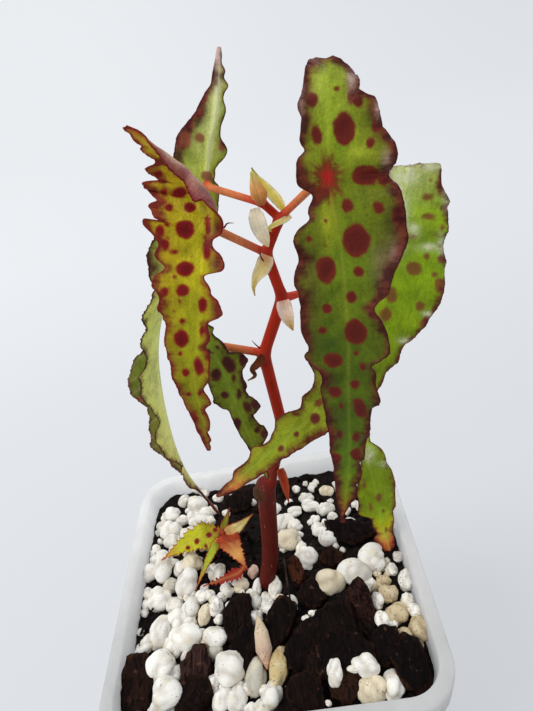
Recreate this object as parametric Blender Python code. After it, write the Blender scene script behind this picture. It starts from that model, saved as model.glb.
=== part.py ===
"""A spotted begonia in a square nursery pot, built at its real size.

The frame: +Z up, origin on the table under the middle of the pot, the photographed
side towards -Y. Sizes in the lists and constants are millimetres; meshes are metres.
"""

import math

import bmesh
import bpy
import numpy as np
from mathutils import Matrix, Vector, noise

MM = 0.001

# Square nursery pot
LIP_SIDE = 70.0          # outer width across the lip
POT_HEIGHT = 80.0
BODY_SIDE_TOP = 66.5     # outer width of the wall where it meets the lip
BODY_SIDE_FOOT = 50.0    # outer width at the table
WALL = 1.0
FLOOR = 1.5
LIP_DEPTH = 7.0          # height of the step below the rim
LIP_TAPER = 0.4          # the lip's side leans in this much towards its lower edge
LIP_CORNER = 9.0         # corner radius of the lip
BODY_CORNER_TOP = 8.0
BODY_CORNER_FOOT = 5.0
CORNER_STEPS = 5
DRAIN_RADIUS = 3.0
DRAIN_OFFSET = 16.0      # drain hole centres from the pot's middle, along X and along Y

# Potting mix
SOIL_LEVEL = 75.0
GAP = 0.3                # clearance between neighbouring solids
STEM_ROOT_DEPTH = 20.0   # how far the cane reaches into the mix
SHOOT_ROOT_DEPTH = 9.0

# Plant
BLADE_THICKNESS = 0.8
STIPULE_THICKNESS = 0.7
SIDE_COLUMNS = 3         # strips from the midrib to each margin
CANE_SIDES = 9
CANE_RINGS = 14
PETIOLE_SIDES = 6

def clear_scene():
    """Remove whatever the file holds, so that the script can be run again."""
    for item in list(bpy.data.objects):
        bpy.data.objects.remove(item, do_unlink=True)


def paint(name, colour, roughness, metallic=0.0):
    """One Principled material."""
    material = bpy.data.materials.new(name)
    material.use_nodes = True
    shader = material.node_tree.nodes["Principled BSDF"]
    shader.inputs["Base Color"].default_value = (*colour, 1.0)
    shader.inputs["Roughness"].default_value = roughness
    shader.inputs["Metallic"].default_value = metallic
    return material


def add_solid(name, points, faces, material=None):
    """One named object from points in millimetres; faces are turned outwards."""
    mesh = bpy.data.meshes.new(name)
    mesh.from_pydata([tuple(float(c) * MM for c in point) for point in points], [], faces)
    mesh.validate()
    build = bmesh.new()
    build.from_mesh(mesh)
    bmesh.ops.recalc_face_normals(build, faces=build.faces)
    build.to_mesh(mesh)
    build.free()
    solid = bpy.data.objects.new(name, mesh)
    bpy.context.scene.collection.objects.link(solid)
    if material:
        mesh.materials.append(material)
    return solid


def soften(solid, angle=50.0):
    """Smooth shading with creases left where faces meet sharply."""
    solid.data.shade_smooth()
    solid.data.set_sharp_from_angle(angle=math.radians(angle))


def combine(solid, others, operation):
    """One Boolean of a solid with a collection of others, applied; the others are removed."""
    tools = bpy.data.collections.new("tools_" + solid.name)
    bpy.context.scene.collection.children.link(tools)
    for other in others:
        bpy.context.scene.collection.objects.unlink(other)
        tools.objects.link(other)
        other.hide_render = True
        other.display_type = "WIRE"
    modifier = solid.modifiers.new("combine", "BOOLEAN")
    modifier.operation = operation
    modifier.operand_type = "COLLECTION"
    modifier.collection = tools
    modifier.solver = "EXACT"
    bpy.context.view_layer.update()
    graph = bpy.context.evaluated_depsgraph_get()
    result = bpy.data.meshes.new_from_object(solid.evaluated_get(graph))
    solid.modifiers.remove(modifier)
    solid.data = result
    for other in list(tools.objects):
        bpy.data.objects.remove(other, do_unlink=True)
    bpy.data.collections.remove(tools)
    return solid


def keep_main_body(solid):
    """Drop loose scraps and fill hollows that fusing has sealed: only the largest skin stays."""
    build = bmesh.new()
    build.from_mesh(solid.data)
    left = set(build.verts)
    skins = []
    while left:
        reached = {left.pop()}
        border = list(reached)
        while border:
            vert = border.pop()
            for edge in vert.link_edges:
                other = edge.other_vert(vert)
                if other not in reached:
                    reached.add(other)
                    border.append(other)
        left -= reached
        skins.append(reached)
    main = max(skins, key=len)
    bmesh.ops.delete(build, geom=[vert for skin in skins if skin is not main for vert in skin], context="VERTS")
    build.to_mesh(solid.data)
    build.free()


# Curves and widths

def unit(rows):
    return rows / np.linalg.norm(rows, axis=-1, keepdims=True)


def through(knots, values, at):
    """Cubic curve through the values at the knots, with slopes taken from both neighbours."""
    knots = np.asarray(knots, float)
    values = np.asarray(values, float)
    step = np.diff(knots)[:, None]
    chord = np.diff(values, axis=0) / step
    inner = (chord[:-1] * step[1:] + chord[1:] * step[:-1]) / (step[:-1] + step[1:])
    slope = np.vstack([chord[:1], inner, chord[-1:]])
    index = np.clip(np.searchsorted(knots, at, side="right") - 1, 0, len(knots) - 2)
    span = step[index]
    t = ((at - knots[index]) / span[:, 0])[:, None]
    start = (2 * t**3 - 3 * t**2 + 1) * values[index] + (t**3 - 2 * t**2 + t) * span * slope[index]
    end = (3 * t**2 - 2 * t**3) * values[index + 1] + (t**3 - t**2) * span * slope[index + 1]
    return start + end


def run_line(points, count):
    """Evenly spaced points on a smooth curve, their distances along it, and the knots' distances."""
    points = np.asarray(points, float)
    knots = np.r_[0, np.cumsum(np.linalg.norm(np.diff(points, axis=0), axis=1))]
    fine = through(knots, points, np.linspace(0, knots[-1], 400))
    length = np.r_[0, np.cumsum(np.linalg.norm(np.diff(fine, axis=0), axis=1))]
    along = np.linspace(0, length[-1], count)
    line = np.column_stack([np.interp(along, length, fine[:, k]) for k in range(3)])
    return along, line, knots * length[-1] / knots[-1]


def blade_frame(spec, count):
    """Points of the midrib with the direction to the right margin and the upper face's normal."""
    along, line, knots = run_line(spec["rib"], count)
    forward = unit(np.gradient(line, axis=0))
    facing = through(knots, spec["facing"], along)
    right = unit(np.cross(facing, forward))
    normal = unit(np.cross(forward, right))
    return along, line, right, normal


def blade_side(spec, side, along, line, right, normal, columns):
    """Rows of points from the midrib (not included) to one margin.

    The half starts level, turns up through its fold angle within a few millimetres,
    and waves more and more towards its margin.
    """
    sign = -1.0 if side == "left" else 1.0
    margin = np.array(spec[side], float)
    width = np.interp(along, margin[:, 0], margin[:, 1])
    fold = np.array(spec.get("fold_" + side, [(0, 8)]), float)
    angle = np.radians(np.interp(along, fold[:, 0], fold[:, 1]))
    wave = spec.get("wave", 0.6) * np.clip(width / 3.5, 0.0, 1.0)
    pitch = spec.get("pitch", 6.5)
    ripple = np.sin(2 * np.pi * along / pitch + (0.0 if side == "left" else 2.1))
    bend = spec.get("bend", 2.5)
    point = line.copy()
    rows = []
    for column in range(1, columns + 1):
        reach = width * (column - 0.5) / columns
        turn = angle * np.clip(reach / bend, 0.0, 1.0)
        stride = (width / columns)[:, None]
        point = point + stride * (sign * np.cos(turn)[:, None] * right + np.sin(turn)[:, None] * normal)
        share = column / columns
        rows.append(point + (wave * ripple * share**2)[:, None] * normal)
    return rows


def blade_sheet(spec, count, columns=SIDE_COLUMNS):
    """Grid of points of a blade's middle surface: stations by columns from left to right margin."""
    along, line, right, normal = blade_frame(spec, count)
    left_rows = blade_side(spec, "left", along, line, right, normal, columns)
    right_rows = blade_side(spec, "right", along, line, right, normal, columns)
    return np.stack(left_rows[::-1] + [line] + right_rows, axis=1)


def sheet_solid(name, sheet, thickness, material=None):
    """A closed thin solid round a grid of points, both faces split into triangles alike."""
    rows, columns, _ = sheet.shape
    normal = unit(np.cross(np.gradient(sheet, axis=1), np.gradient(sheet, axis=0)))
    upper = (sheet + normal * thickness / 2).reshape(-1, 3)
    lower = (sheet - normal * thickness / 2).reshape(-1, 3)
    count = rows * columns
    faces = []
    for row in range(rows - 1):
        for column in range(columns - 1):
            a = row * columns + column
            b, c, d = a + 1, a + columns + 1, a + columns
            faces += [(a, b, c), (a, c, d)]
            faces += [(count + c, count + b, count + a), (count + d, count + c, count + a)]
    top = list(range(columns))
    right = [row * columns + columns - 1 for row in range(1, rows)]
    bottom = [(rows - 1) * columns + column for column in range(columns - 2, -1, -1)]
    left = [row * columns for row in range(rows - 2, 0, -1)]
    edge = top + right + bottom + left
    for here, there in zip(edge, edge[1:] + edge[:1]):
        faces += [(there, here, count + here), (there, count + here, count + there)]
    return add_solid(name, np.vstack([upper, lower]), faces, material)


def tube(name, points, radii, rings, sides, material=None):
    """A closed round bar along a smooth curve, its radius following the given values."""
    along, line, knots = run_line(points, rings)
    radius = np.interp(along, knots, radii)
    forward = unit(np.gradient(line, axis=0))
    across = unit(np.cross(forward, np.tile([0.0, 1.0, 0.05], (rings, 1))))
    other = np.cross(forward, across)
    turn = 2 * np.pi * np.arange(sides) / sides
    circle = np.cos(turn)[None, :, None] * across[:, None] + np.sin(turn)[None, :, None] * other[:, None]
    points = (line[:, None] + circle * radius[:, None, None]).reshape(-1, 3)
    faces = []
    for ring in range(rings - 1):
        for side in range(sides):
            a = ring * sides + side
            b = ring * sides + (side + 1) % sides
            faces.append((a, b, b + sides, a + sides))
    faces.append(tuple(range(sides)))
    faces.append(tuple(range((rings - 1) * sides, rings * sides)))
    return add_solid(name, points, faces, material)


# Pot

def square_ring(side, corner, height, steps=CORNER_STEPS):
    """A square with round corners, seen from above, starting at the +X side."""
    half = side / 2 - corner
    centres = [(half, half), (-half, half), (-half, -half), (half, -half)]
    ring = []
    for quarter, (x, y) in enumerate(centres):
        for step in range(steps + 1):
            angle = math.pi / 2 * (quarter + step / steps)
            ring.append((x + corner * math.cos(angle), y + corner * math.sin(angle), height))
    return ring


def stacked(name, rings, material=None):
    """A closed solid through rings of equal count, its first and last ring filled."""
    count = len(rings[0])
    faces = [tuple(range(count))]
    for level in range(len(rings) - 1):
        for k in range(count):
            a = level * count + k
            b = level * count + (k + 1) % count
            faces.append((a, b, b + count, a + count))
    last = (len(rings) - 1) * count
    faces.append(tuple(range(last, last + count)))
    return add_solid(name, [point for ring in rings for point in ring], faces, material)


def body_side(height):
    """Outer width of the wall at a height."""
    return BODY_SIDE_FOOT + (BODY_SIDE_TOP - BODY_SIDE_FOOT) * height / POT_HEIGHT


def body_corner(height):
    return BODY_CORNER_FOOT + (BODY_CORNER_TOP - BODY_CORNER_FOOT) * height / POT_HEIGHT


def inner_ring(height, clearance=0.0):
    inset = WALL + clearance
    return square_ring(body_side(height) - 2 * inset, body_corner(height) - inset, height)


def make_pot():
    """Tapered square pot, open at the top, with a stepped lip and four drain holes."""
    step = POT_HEIGHT - LIP_DEPTH
    rings = [
        square_ring(BODY_SIDE_FOOT, BODY_CORNER_FOOT, 0.0),
        square_ring(body_side(step), body_corner(step), step),
        square_ring(LIP_SIDE - 2 * LIP_TAPER, LIP_CORNER, step),
        square_ring(LIP_SIDE, LIP_CORNER, POT_HEIGHT - 0.4),
        square_ring(LIP_SIDE - 0.8, LIP_CORNER, POT_HEIGHT),
        inner_ring(POT_HEIGHT),
        inner_ring(FLOOR),
    ]
    pot = stacked("pot", rings, paint("pot_plastic", (0.86, 0.88, 0.89), 0.35))
    drains = []
    for x in (-DRAIN_OFFSET, DRAIN_OFFSET):
        for y in (-DRAIN_OFFSET, DRAIN_OFFSET):
            path = [(x, y, -2.0), (x, y, 1.0), (x, y, 4.0)]
            drains.append(tube("drain", path, [DRAIN_RADIUS] * 3, 2, 12))
    combine(pot, drains, "DIFFERENCE")
    soften(pot, 35)
    return pot


# Potting mix: lumps of perlite and pumice, bark chips and the dark mix between them

# Banks of stones: outline of the low bed that they stand out of, the large ones (x, y, radius),
# then how many more are drawn at random and their least and greatest radius
WHITE_BANK = {
    "outline": [(-30, 26), (-14, 27), (-15, 19), (-16, 13), (-15, 7), (-10, 3), (-5.5, -3), (-2, -5.4),
                (4.5, -6), (5, -9.5), (-3, -11.5), (-9, -9), (-11.5, -14), (-18, -17.5), (-19.5, -29),
                (-26.4, -29), (-25.4, -19), (-30, -14)],
    "large": [(-20.4, 24.8, 2.9), (-27.0, 21.2, 2.9), (-26.5, 15.0, 2.6), (-26.9, 2.0, 3.0),
              (-20.2, -0.2, 3.4), (-26.4, -4.4, 3.2), (-20.8, -8.1, 3.1), (-25.4, -11.6, 2.9),
              (-19.2, -14.2, 3.4), (-13.4, -13.3, 2.7), (-24.4, -19.0, 3.6), (-22.4, -26.0, 3.6),
              (-15.0, -8.4, 2.6), (-4.6, -10.2, 2.2), (-5.2, -5.8, 2.0), (1.6, -6.6, 2.1),
              (-15.4, -3.2, 2.2), (-10.4, -5.6, 2.2)],
    "more": 26, "sizes": (1.8, 2.5),
}
FRONT_BANK = {
    "outline": [(-13, -21), (-7, -18.5), (0, -25), (0, -29), (-13, -29)],
    "large": [(-9.4, -21.6, 3.7), (-1.6, -26.6, 2.8), (-8.2, -27.2, 2.8), (-13.2, -24.0, 2.4)],
    "more": 6, "sizes": (1.6, 2.2),
}
PUMICE_BANK = {
    "outline": [(19, -0.5), (26, 1), (29, -2), (29.5, -18), (26, -20.5), (24, -17), (25, -9), (22, -5), (19, -4)],
    "large": [(20.6, -2.4, 2.8), (25.2, -0.8, 2.8), (28.6, -4.4, 2.3), (25.4, -6.4, 2.6),
              (26.2, -11.0, 2.7), (27.4, -15.6, 2.7), (26.6, -19.8, 2.4)],
    "more": 8, "sizes": (1.6, 2.2),
}
BED_HEIGHT = 1.2         # of the bed under a bank's stones
SPACING = 0.74           # least distance of two stones in a bank, as a share of their radii together
CLEAR = 1.12             # the same for lumps of different bodies, which may not touch
LEAST_LUMP = 1.2         # radius of the smallest lump that is kept
# Loose lumps: x, y, radius
SINGLES = [
    (13.5, -4.4, 3.0), (11.0, 21.0, 2.2), (8.7, 4.2, 2.3), (5.2, 9.6, 2.2), (18.7, -23.6, 2.7),
    (12.2, -24.6, 2.4), (4.6, 24.4, 2.0), (14.4, 12.6, 2.1), (19.6, 7.2, 2.2), (-6.2, 25.4, 2.2),
    (20.4, 19.6, 2.1), (4.6, -21.4, 2.6), (22.4, -28.0, 2.6), (17.0, -28.6, 2.4),
]
# Bark: x, y, half width, half length, half thickness, turn, tilt (degrees)
BARK = [
    (19.4, -11.6, 3.4, 5.6, 1.7, -8, 38), (11.6, -15.6, 5.0, 6.4, 1.8, 24, 20),
    (-30.0, -23.4, 2.6, 4.6, 1.6, 12, 12), (-7.6, -15.4, 2.2, 3.4, 1.5, -50, 12),
    (8.6, -26.6, 4.2, 4.4, 1.6, 70, 10), (12.6, 6.8, 2.6, 7.0, 1.6, 68, 12),
    (4.8, -1.8, 1.4, 5.2, 1.2, -12, 20), (2.0, 17.4, 3.6, 4.8, 1.5, 40, 10),
    (24.2, 12.4, 2.6, 5.6, 1.5, -20, 14), (26.0, 26.0, 2.6, 4.0, 1.4, 45, 10),
    (-9.0, 19.6, 2.4, 3.8, 1.4, 10, 12), (27.4, -26.6, 2.0, 3.2, 1.5, 30, 10),
]
# Lower tops are kept under the shoot's leaves and the two long tips: x, y, radius, top
KEEP_LOW = [
    (-12.0, 11.5, 4.0, 76.2), (-17.0, 10.5, 5.0, 77.6), (-23.0, 8.5, 5.0, 77.6),
    (-13.5, 4.0, 4.5, 77.2), (-16.5, -2.5, 4.5, 77.2), (-7.0, 5.0, 6.0, 77.4),
    (-9.0, -0.5, 5.0, 77.2), (-11.2, 16.0, 4.0, 77.8), (28.8, 3.5, 5.0, 77.4),
    (-1.0, -1.0, 3.4, 74.0),
]
LUMP_SIT = 0.45          # centre above the soil, as a share of the radius
LUMP_SQUASH = 0.86       # height over width of a lump
SMALL_LUMP = 2.5         # lumps up to this radius get fewer faces


def top_limit(x, y):
    """The highest that a lump may reach at a place."""
    limit = POT_HEIGHT
    for cx, cy, reach, top in KEEP_LOW:
        if math.hypot(x - cx, y - cy) < reach:
            limit = min(limit, top)
    return limit


def fit_lump(x, y, radius):
    """A lump's radius, made small enough for the room above it and beside the wall."""
    room = (top_limit(x, y) - SOIL_LEVEL - GAP) / (LUMP_SIT + LUMP_SQUASH * 1.1)
    edge = body_side(SOIL_LEVEL) / 2 - WALL - max(abs(x), abs(y)) - 0.5
    corner = 40.0 - math.hypot(x, y)
    return min(radius, room, edge / 1.12, corner / 1.12)


def inside(outline, x, y):
    """Whether a point lies within a polygon, by counting the sides that a ray crosses."""
    hit = False
    for (ax, ay), (bx, by) in zip(outline, outline[1:] + outline[:1]):
        if (ay > y) != (by > y) and x < ax + (y - ay) * (bx - ax) / (by - ay):
            hit = not hit
    return hit


def clear_of(lumps, others):
    """Shrink or leave out lumps that would touch a body they don't belong to."""
    kept = []
    for x, y, radius in lumps:
        for ox, oy, other in others:
            room = (math.hypot(x - ox, y - oy) - GAP - 0.1) / CLEAR - other
            radius = min(radius, room)
        if radius > LEAST_LUMP:
            kept.append((x, y, radius))
    return kept


def bank_stones(bank, draw, others):
    """The large stones of a bank and smaller ones between them, close but not on top of each other."""
    outline = bank["outline"]
    stones = clear_of([(x, y, fit_lump(x, y, radius)) for x, y, radius in bank["large"]], others)
    goal = len(stones) + bank["more"]
    xs = [x for x, _ in outline]
    ys = [y for _, y in outline]
    for _ in range(5000):
        if len(stones) == goal:
            break
        x = draw.uniform(min(xs), max(xs))
        y = draw.uniform(min(ys), max(ys))
        radius = fit_lump(x, y, draw.uniform(*bank["sizes"]))
        if not inside(outline, x, y) or radius < LEAST_LUMP:
            continue
        spacing = min(math.hypot(x - ox, y - oy) / (radius + other) for ox, oy, other in stones)
        if spacing > SPACING:
            stones += clear_of([(x, y, radius)], others)
    return stones


def lump(x, y, radius, seed, foot):
    """A rounded, uneven stone: a ball pushed in and out by smooth noise."""
    build = bmesh.new()
    bmesh.ops.create_icosphere(build, subdivisions=2 if radius > SMALL_LUMP else 1, radius=1.0)
    offset = Vector((seed * 3.7, seed * 1.3, 5.0))
    spin = Matrix.Rotation(seed * 1.9, 3, "Z")
    for vert in build.verts:
        swell = 1.0 + 0.16 * noise.noise(vert.co * 1.3 + offset)
        place = spin @ (vert.co * swell)
        vert.co = Vector((place.x, place.y * 0.94, place.z * LUMP_SQUASH)) * radius
        vert.co += Vector((x, y, foot + LUMP_SIT * radius))
    points = [tuple(vert.co) for vert in build.verts]
    faces = [tuple(vert.index for vert in face.verts) for face in build.faces]
    build.free()
    return add_solid("lump", points, faces)


def stone_bank(name, bank, stones, material, first_seed):
    """Stones standing out of a low bed, one body with a flat underside just above the mix."""
    foot = SOIL_LEVEL + GAP
    bed = [[(x, y, height) for x, y in bank["outline"]] for height in (foot, foot + BED_HEIGHT)]
    solid = stacked(name, bed)
    combine(solid, [lump(x, y, r, first_seed + k, foot) for k, (x, y, r) in enumerate(stones)], "UNION")
    slab = stacked("slab", [square_ring(90, 1, SOIL_LEVEL - 12), square_ring(90, 1, foot + 0.01)])
    combine(solid, [slab], "DIFFERENCE")
    keep_main_body(solid)
    solid.data.name = name
    solid.data.materials.clear()
    solid.data.materials.append(material)
    soften(solid, 60)
    return solid


def chip(x, y, half_width, half_length, half_thickness, turn, tilt, seed):
    """A flake of bark: a coarse flattened ball, tilted so that one end stands up."""
    build = bmesh.new()
    bmesh.ops.create_icosphere(build, subdivisions=2, radius=1.0)
    rotation = Matrix.Rotation(math.radians(turn), 3, "Z") @ Matrix.Rotation(math.radians(tilt), 3, "X")
    for vert in build.verts:
        rough = 1.0 + 0.18 * noise.noise(vert.co * 1.7 + Vector((seed, 2.0 * seed, 1.0)))
        flat = Vector((vert.co.x * half_width, vert.co.y * half_length, vert.co.z * half_thickness))
        vert.co = rotation @ (flat * rough) + Vector((x, y, SOIL_LEVEL + 0.5))
    points = [tuple(vert.co) for vert in build.verts]
    faces = [tuple(vert.index for vert in face.verts) for face in build.faces]
    build.free()
    return add_solid("chip", points, faces)


def make_potting_mix():
    """The dark mix with its bark chips and loose lumps, and the stone banks lying on it."""
    draw = np.random.default_rng(7)
    bark_discs = [(x, y, 0.8 * max(w, 0.72 * l)) for x, y, w, l, *_ in BARK]
    placed = list(bark_discs)
    banks = []
    for bank in (WHITE_BANK, FRONT_BANK, PUMICE_BANK):
        stones = bank_stones(bank, draw, placed)
        placed += stones
        banks.append(stones)
    scattered = clear_of([(x, y, fit_lump(x, y, r)) for x, y, r in SINGLES], placed[len(bark_discs):])

    foot = FLOOR + GAP
    rings = [inner_ring(foot, GAP), inner_ring(SOIL_LEVEL, GAP)]
    soil = stacked("potting_mix", rings, paint("dark_mix", (0.035, 0.028, 0.025), 0.9))
    pieces = [chip(*row, seed) for seed, row in enumerate(BARK)]
    pieces += [lump(x, y, r, 200 + k, SOIL_LEVEL) for k, (x, y, r) in enumerate(scattered)]
    surface = combine(pieces[0], pieces[1:], "UNION")
    room = [inner_ring(SOIL_LEVEL - 8, GAP + 0.05), inner_ring(POT_HEIGHT + 4, GAP + 0.05)]
    combine(surface, [stacked("room", room)], "INTERSECT")
    combine(soil, [surface], "UNION")
    wider = [radius + GAP + 0.05 for radius in CANE_RADII]
    cane_hole = tube("cane_hole", CANE_PATH, wider, CANE_RINGS, CANE_SIDES)
    shoot_hole = tube("shoot_hole", SHOOT_STUB, [SHOOT_RADIUS + GAP + 0.05] * 3, 5, CANE_SIDES)
    level_foot(cane_hole, SOIL_LEVEL - STEM_ROOT_DEPTH - GAP)
    level_foot(shoot_hole, SOIL_LEVEL - SHOOT_ROOT_DEPTH - GAP)
    combine(soil, [cane_hole, shoot_hole], "DIFFERENCE")
    keep_main_body(soil)
    soften(soil, 40)
    white = paint("perlite", (0.88, 0.87, 0.84), 0.75)
    tan = paint("pumice", (0.72, 0.66, 0.54), 0.8)
    stone_bank("perlite_left", WHITE_BANK, banks[0], white, 40)
    stone_bank("perlite_front", FRONT_BANK, banks[1], white.copy(), 140)
    stone_bank("pumice_right", PUMICE_BANK, banks[2], tan, 240)


def level_foot(solid, height):
    """Put a bar's lowest ring of points at one height, so that it ends in a level face."""
    ring = sorted(solid.data.vertices, key=lambda vert: vert.co.z)[:CANE_SIDES]
    for vert in ring:
        vert.co.z = height * MM


# Cane, petioles and the pieces that grow from them

CANE_PATH = [
    (-6.4, -1.0, 55.0), (-1.6, -1.0, 72.7), (1.4, -1.0, 84.0), (3.3, -1.0, 97.0), (4.4, -1.0, 106.6),
]
CANE_RADII = [1.9, 1.95, 1.9, 1.9, 2.05]
YOUNG_PATH = [
    (4.2, -1.0, 100.0), (5.4, -1.0, 107.0), (7.9, -1.0, 114.4), (10.2, -1.0, 120.0),
    (10.6, -1.0, 122.5), (10.3, -1.0, 129.5), (9.7, -1.0, 137.0), (9.9, -1.0, 139.2),
    (12.3, -1.0, 143.6), (14.8, -1.0, 147.4), (14.9, -1.0, 149.2), (14.1, -1.0, 153.0),
    (13.4, -1.0, 155.8), (13.6, -1.0, 157.2), (15.0, -1.0, 159.2), (16.7, -1.0, 161.6), (16.3, -1.0, 163.4),
]
YOUNG_RADII = [1.2, 1.45, 1.25, 1.4, 1.35, 1.1, 1.35, 1.3, 1.05, 1.25, 1.2, 0.95, 1.2, 1.1, 0.9, 1.1, 0.6]
SHOOT_STUB = [(-11.6, 12.0, 66.0), (-11.4, 12.0, 72.0), (-11.2, 11.8, 79.6)]
SHOOT_RADIUS = 1.1

RIGHT_FRONT = {
    "rib": [(25.8, -8.6, 181.2), (24.5, -11.2, 180), (23.6, -14, 175), (23, -14.5, 170), (23.3, -17, 162.7),
            (23, -19, 155.3), (22.4, -20, 147.5), (21.7, -20, 139.9), (21, -18, 127.5), (18.4, -14, 107.4)],
    "facing": [(0, -0.5, 0.9), (0, -0.9, 0.5), (0, -1, 0.2), (0, -1, 0.2), (0, -1, 0.2),
               (0, -1, 0.2), (0, -1, 0.1), (0, -1, 0), (0, -1, -0.1), (0, -1, -0.1)],
    "left": [(0, 0.4), (3, 2.0), (6, 2.5), (8, 3.3), (9.5, 2.8), (12, 3.3), (13.3, 2.3), (15, 3.8),
             (16.5, 3.8), (18, 2.0), (20.5, 3.2), (22.5, 5.8), (25.5, 5.2), (28, 6.3), (29.5, 5.7),
             (34.5, 6.2), (37.5, 5.0), (41.5, 3.8), (47.5, 3.5), (54.5, 3.0), (61, 2.5), (71.5, 1.2), (80.3, 0.3)],
    "right": [(0, 0.5), (2, 2.2), (3.6, 3.8), (7.3, 3.8), (8, 5.5), (11, 6.5), (12, 7.8), (13.7, 8.2),
              (16.5, 7.4), (19.5, 8.5), (24.5, 8.2), (28, 6.8), (31.5, 5.5), (32.7, 3.5), (35, 4.5),
              (37, 5.5), (39.5, 5.5), (40.9, 3.1), (43, 4.0), (48, 4.5), (50, 3.2), (53.5, 2.5),
              (55.3, 3.2), (58.5, 2.2), (67.5, 1.8), (75.5, 1.2), (80.3, 0.3)],
    "attach": 16.0, "stations": 48,
}
LEFT_FRONT = {
    "rib": [(-0.5, -9, 179.2), (1.7, -9, 176.5), (3.8, -8, 173.9), (5.6, -7.5, 171.2), (7.0, -7.8, 168.0),
            (6.6, -10, 165), (5.1, -12, 162), (3.9, -14, 157.5), (2.1, -15, 151.5), (0, -15, 145),
            (-0.8, -14, 135.4), (-1.5, -13, 128.8)],
    "facing": [(-0.5, -1, 0), (-0.5, -1, 0), (-0.4, -1, 0), (-0.3, -1, 0), (-0.2, -1, 0.2),
               (-0.1, -1, 0.3), (0, -1, 0.3), (0, -1, 0.3), (0, -1, 0.2), (0, -1, 0.1),
               (0, -1, 0), (0, -1, 0)],
    "left": [(0, 0.3), (1.2, 1.0), (2.6, 2.0), (4.4, 2.0), (5.0, 4.2), (6.2, 3.0), (7.0, 6.2), (8.6, 5.0),
             (9.6, 8.0), (11.2, 6.6), (12.6, 9.2), (14.6, 8.0), (16.2, 9.6), (18.6, 6.8), (20.8, 8.8), (22.4, 6.2),
             (24.3, 4.7), (25.8, 6.8), (27.8, 6.5), (29.5, 5.2), (32.5, 4.8), (38.6, 4.0),
             (44.3, 2.5), (49.3, 1.8), (53.6, 1.5), (57.7, 0.3)],
    "right": [(0, 0.3), (3.2, 2.6), (7.2, 3.8), (9.5, 3.4), (13, 4.2), (16, 4.0), (18, 2.8), (21.7, 2.2),
              (24.3, 4.4), (25.8, 2.0), (28.7, 3.4), (30.6, 4.3), (32.4, 2.4), (35, 2.6), (36.4, 3.8), (38.4, 2.2), (43, 2.0),
              (45.8, 2.2), (48, 1.0), (53, 0.8), (57.7, 0.3)],
    "fold_left": [(0, 5)], "fold_right": [(0, 40), (3, 110), (12, 120), (17, 95), (22, 55), (30, 25), (57, 15)],
    "bend": 2.4, "wave": 0.4, "attach": 16.5, "stations": 42,
}
LEFT_BACK = {
    "rib": [(12.1, 8, 185), (11, 6.5, 181), (9.9, 5.5, 177.2), (8.3, 5, 173.6), (6.8, 4.5, 169.5),
            (4.7, 4.5, 163.3), (-0.6, 6, 154.8), (-7.4, 9, 146.3), (-11.5, 11, 137.6), (-13.2, 12, 132),
            (-14.2, 12, 126.6), (-15.5, 13, 118.1), (-16, 13, 110.5), (-16, 14, 100.7), (-11.4, 15.5, 82)],
    "facing": [(-0.3, 1, 0), (-0.3, 1, 0), (-0.3, 1, 0), (-0.3, 1, 0), (-0.4, 1, 0),
               (-0.6, 1, 0), (-0.9, 0.6, 0), (-1, 0.3, 0), (-1, 0.15, 0), (-1, 0.1, 0),
               (-1, 0.1, 0), (-1, 0.1, 0), (-1, 0.1, 0), (-1, 0, 0), (-1, 0, 0)],
    "left": [(0, 0.3), (2.8, 1.2), (4, 0.8), (5.2, 1.8), (6.3, 1.0), (8, 1.8), (11, 1.2), (14, 3.0),
             (16.5, 1.3), (20, 2.5), (28, 5), (40, 6), (50, 6.5), (63, 7.5), (70, 7.0), (78, 6.2),
             (86, 5.5), (92, 4.0), (97, 2.8), (111.5, 0.3)],
    "right": [(0, 0.3), (3.4, 0.8), (6.3, 1.8), (8.5, 2.8), (10.8, 3.8), (12.5, 4.8), (14.8, 5.2),
              (20, 6), (30, 6.5), (40, 5.5), (43.5, 6.5), (47.8, 4.5), (50, 5.8), (54, 4.6), (58.5, 6.4),
              (61, 5.0), (64.3, 6.8), (67.5, 5.0), (73.5, 3.6), (76.2, 5.3), (80.2, 4.2),
              (86.5, 2.4), (96, 1.8), (111.5, 0.3)],
    "fold_left": [(0, 8), (20, 8), (35, 40), (60, 60), (112, 55)],
    "fold_right": [(0, 8), (20, 8), (35, 20), (112, 22)],
    "attach": 19.0, "stations": 50,
}
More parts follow.
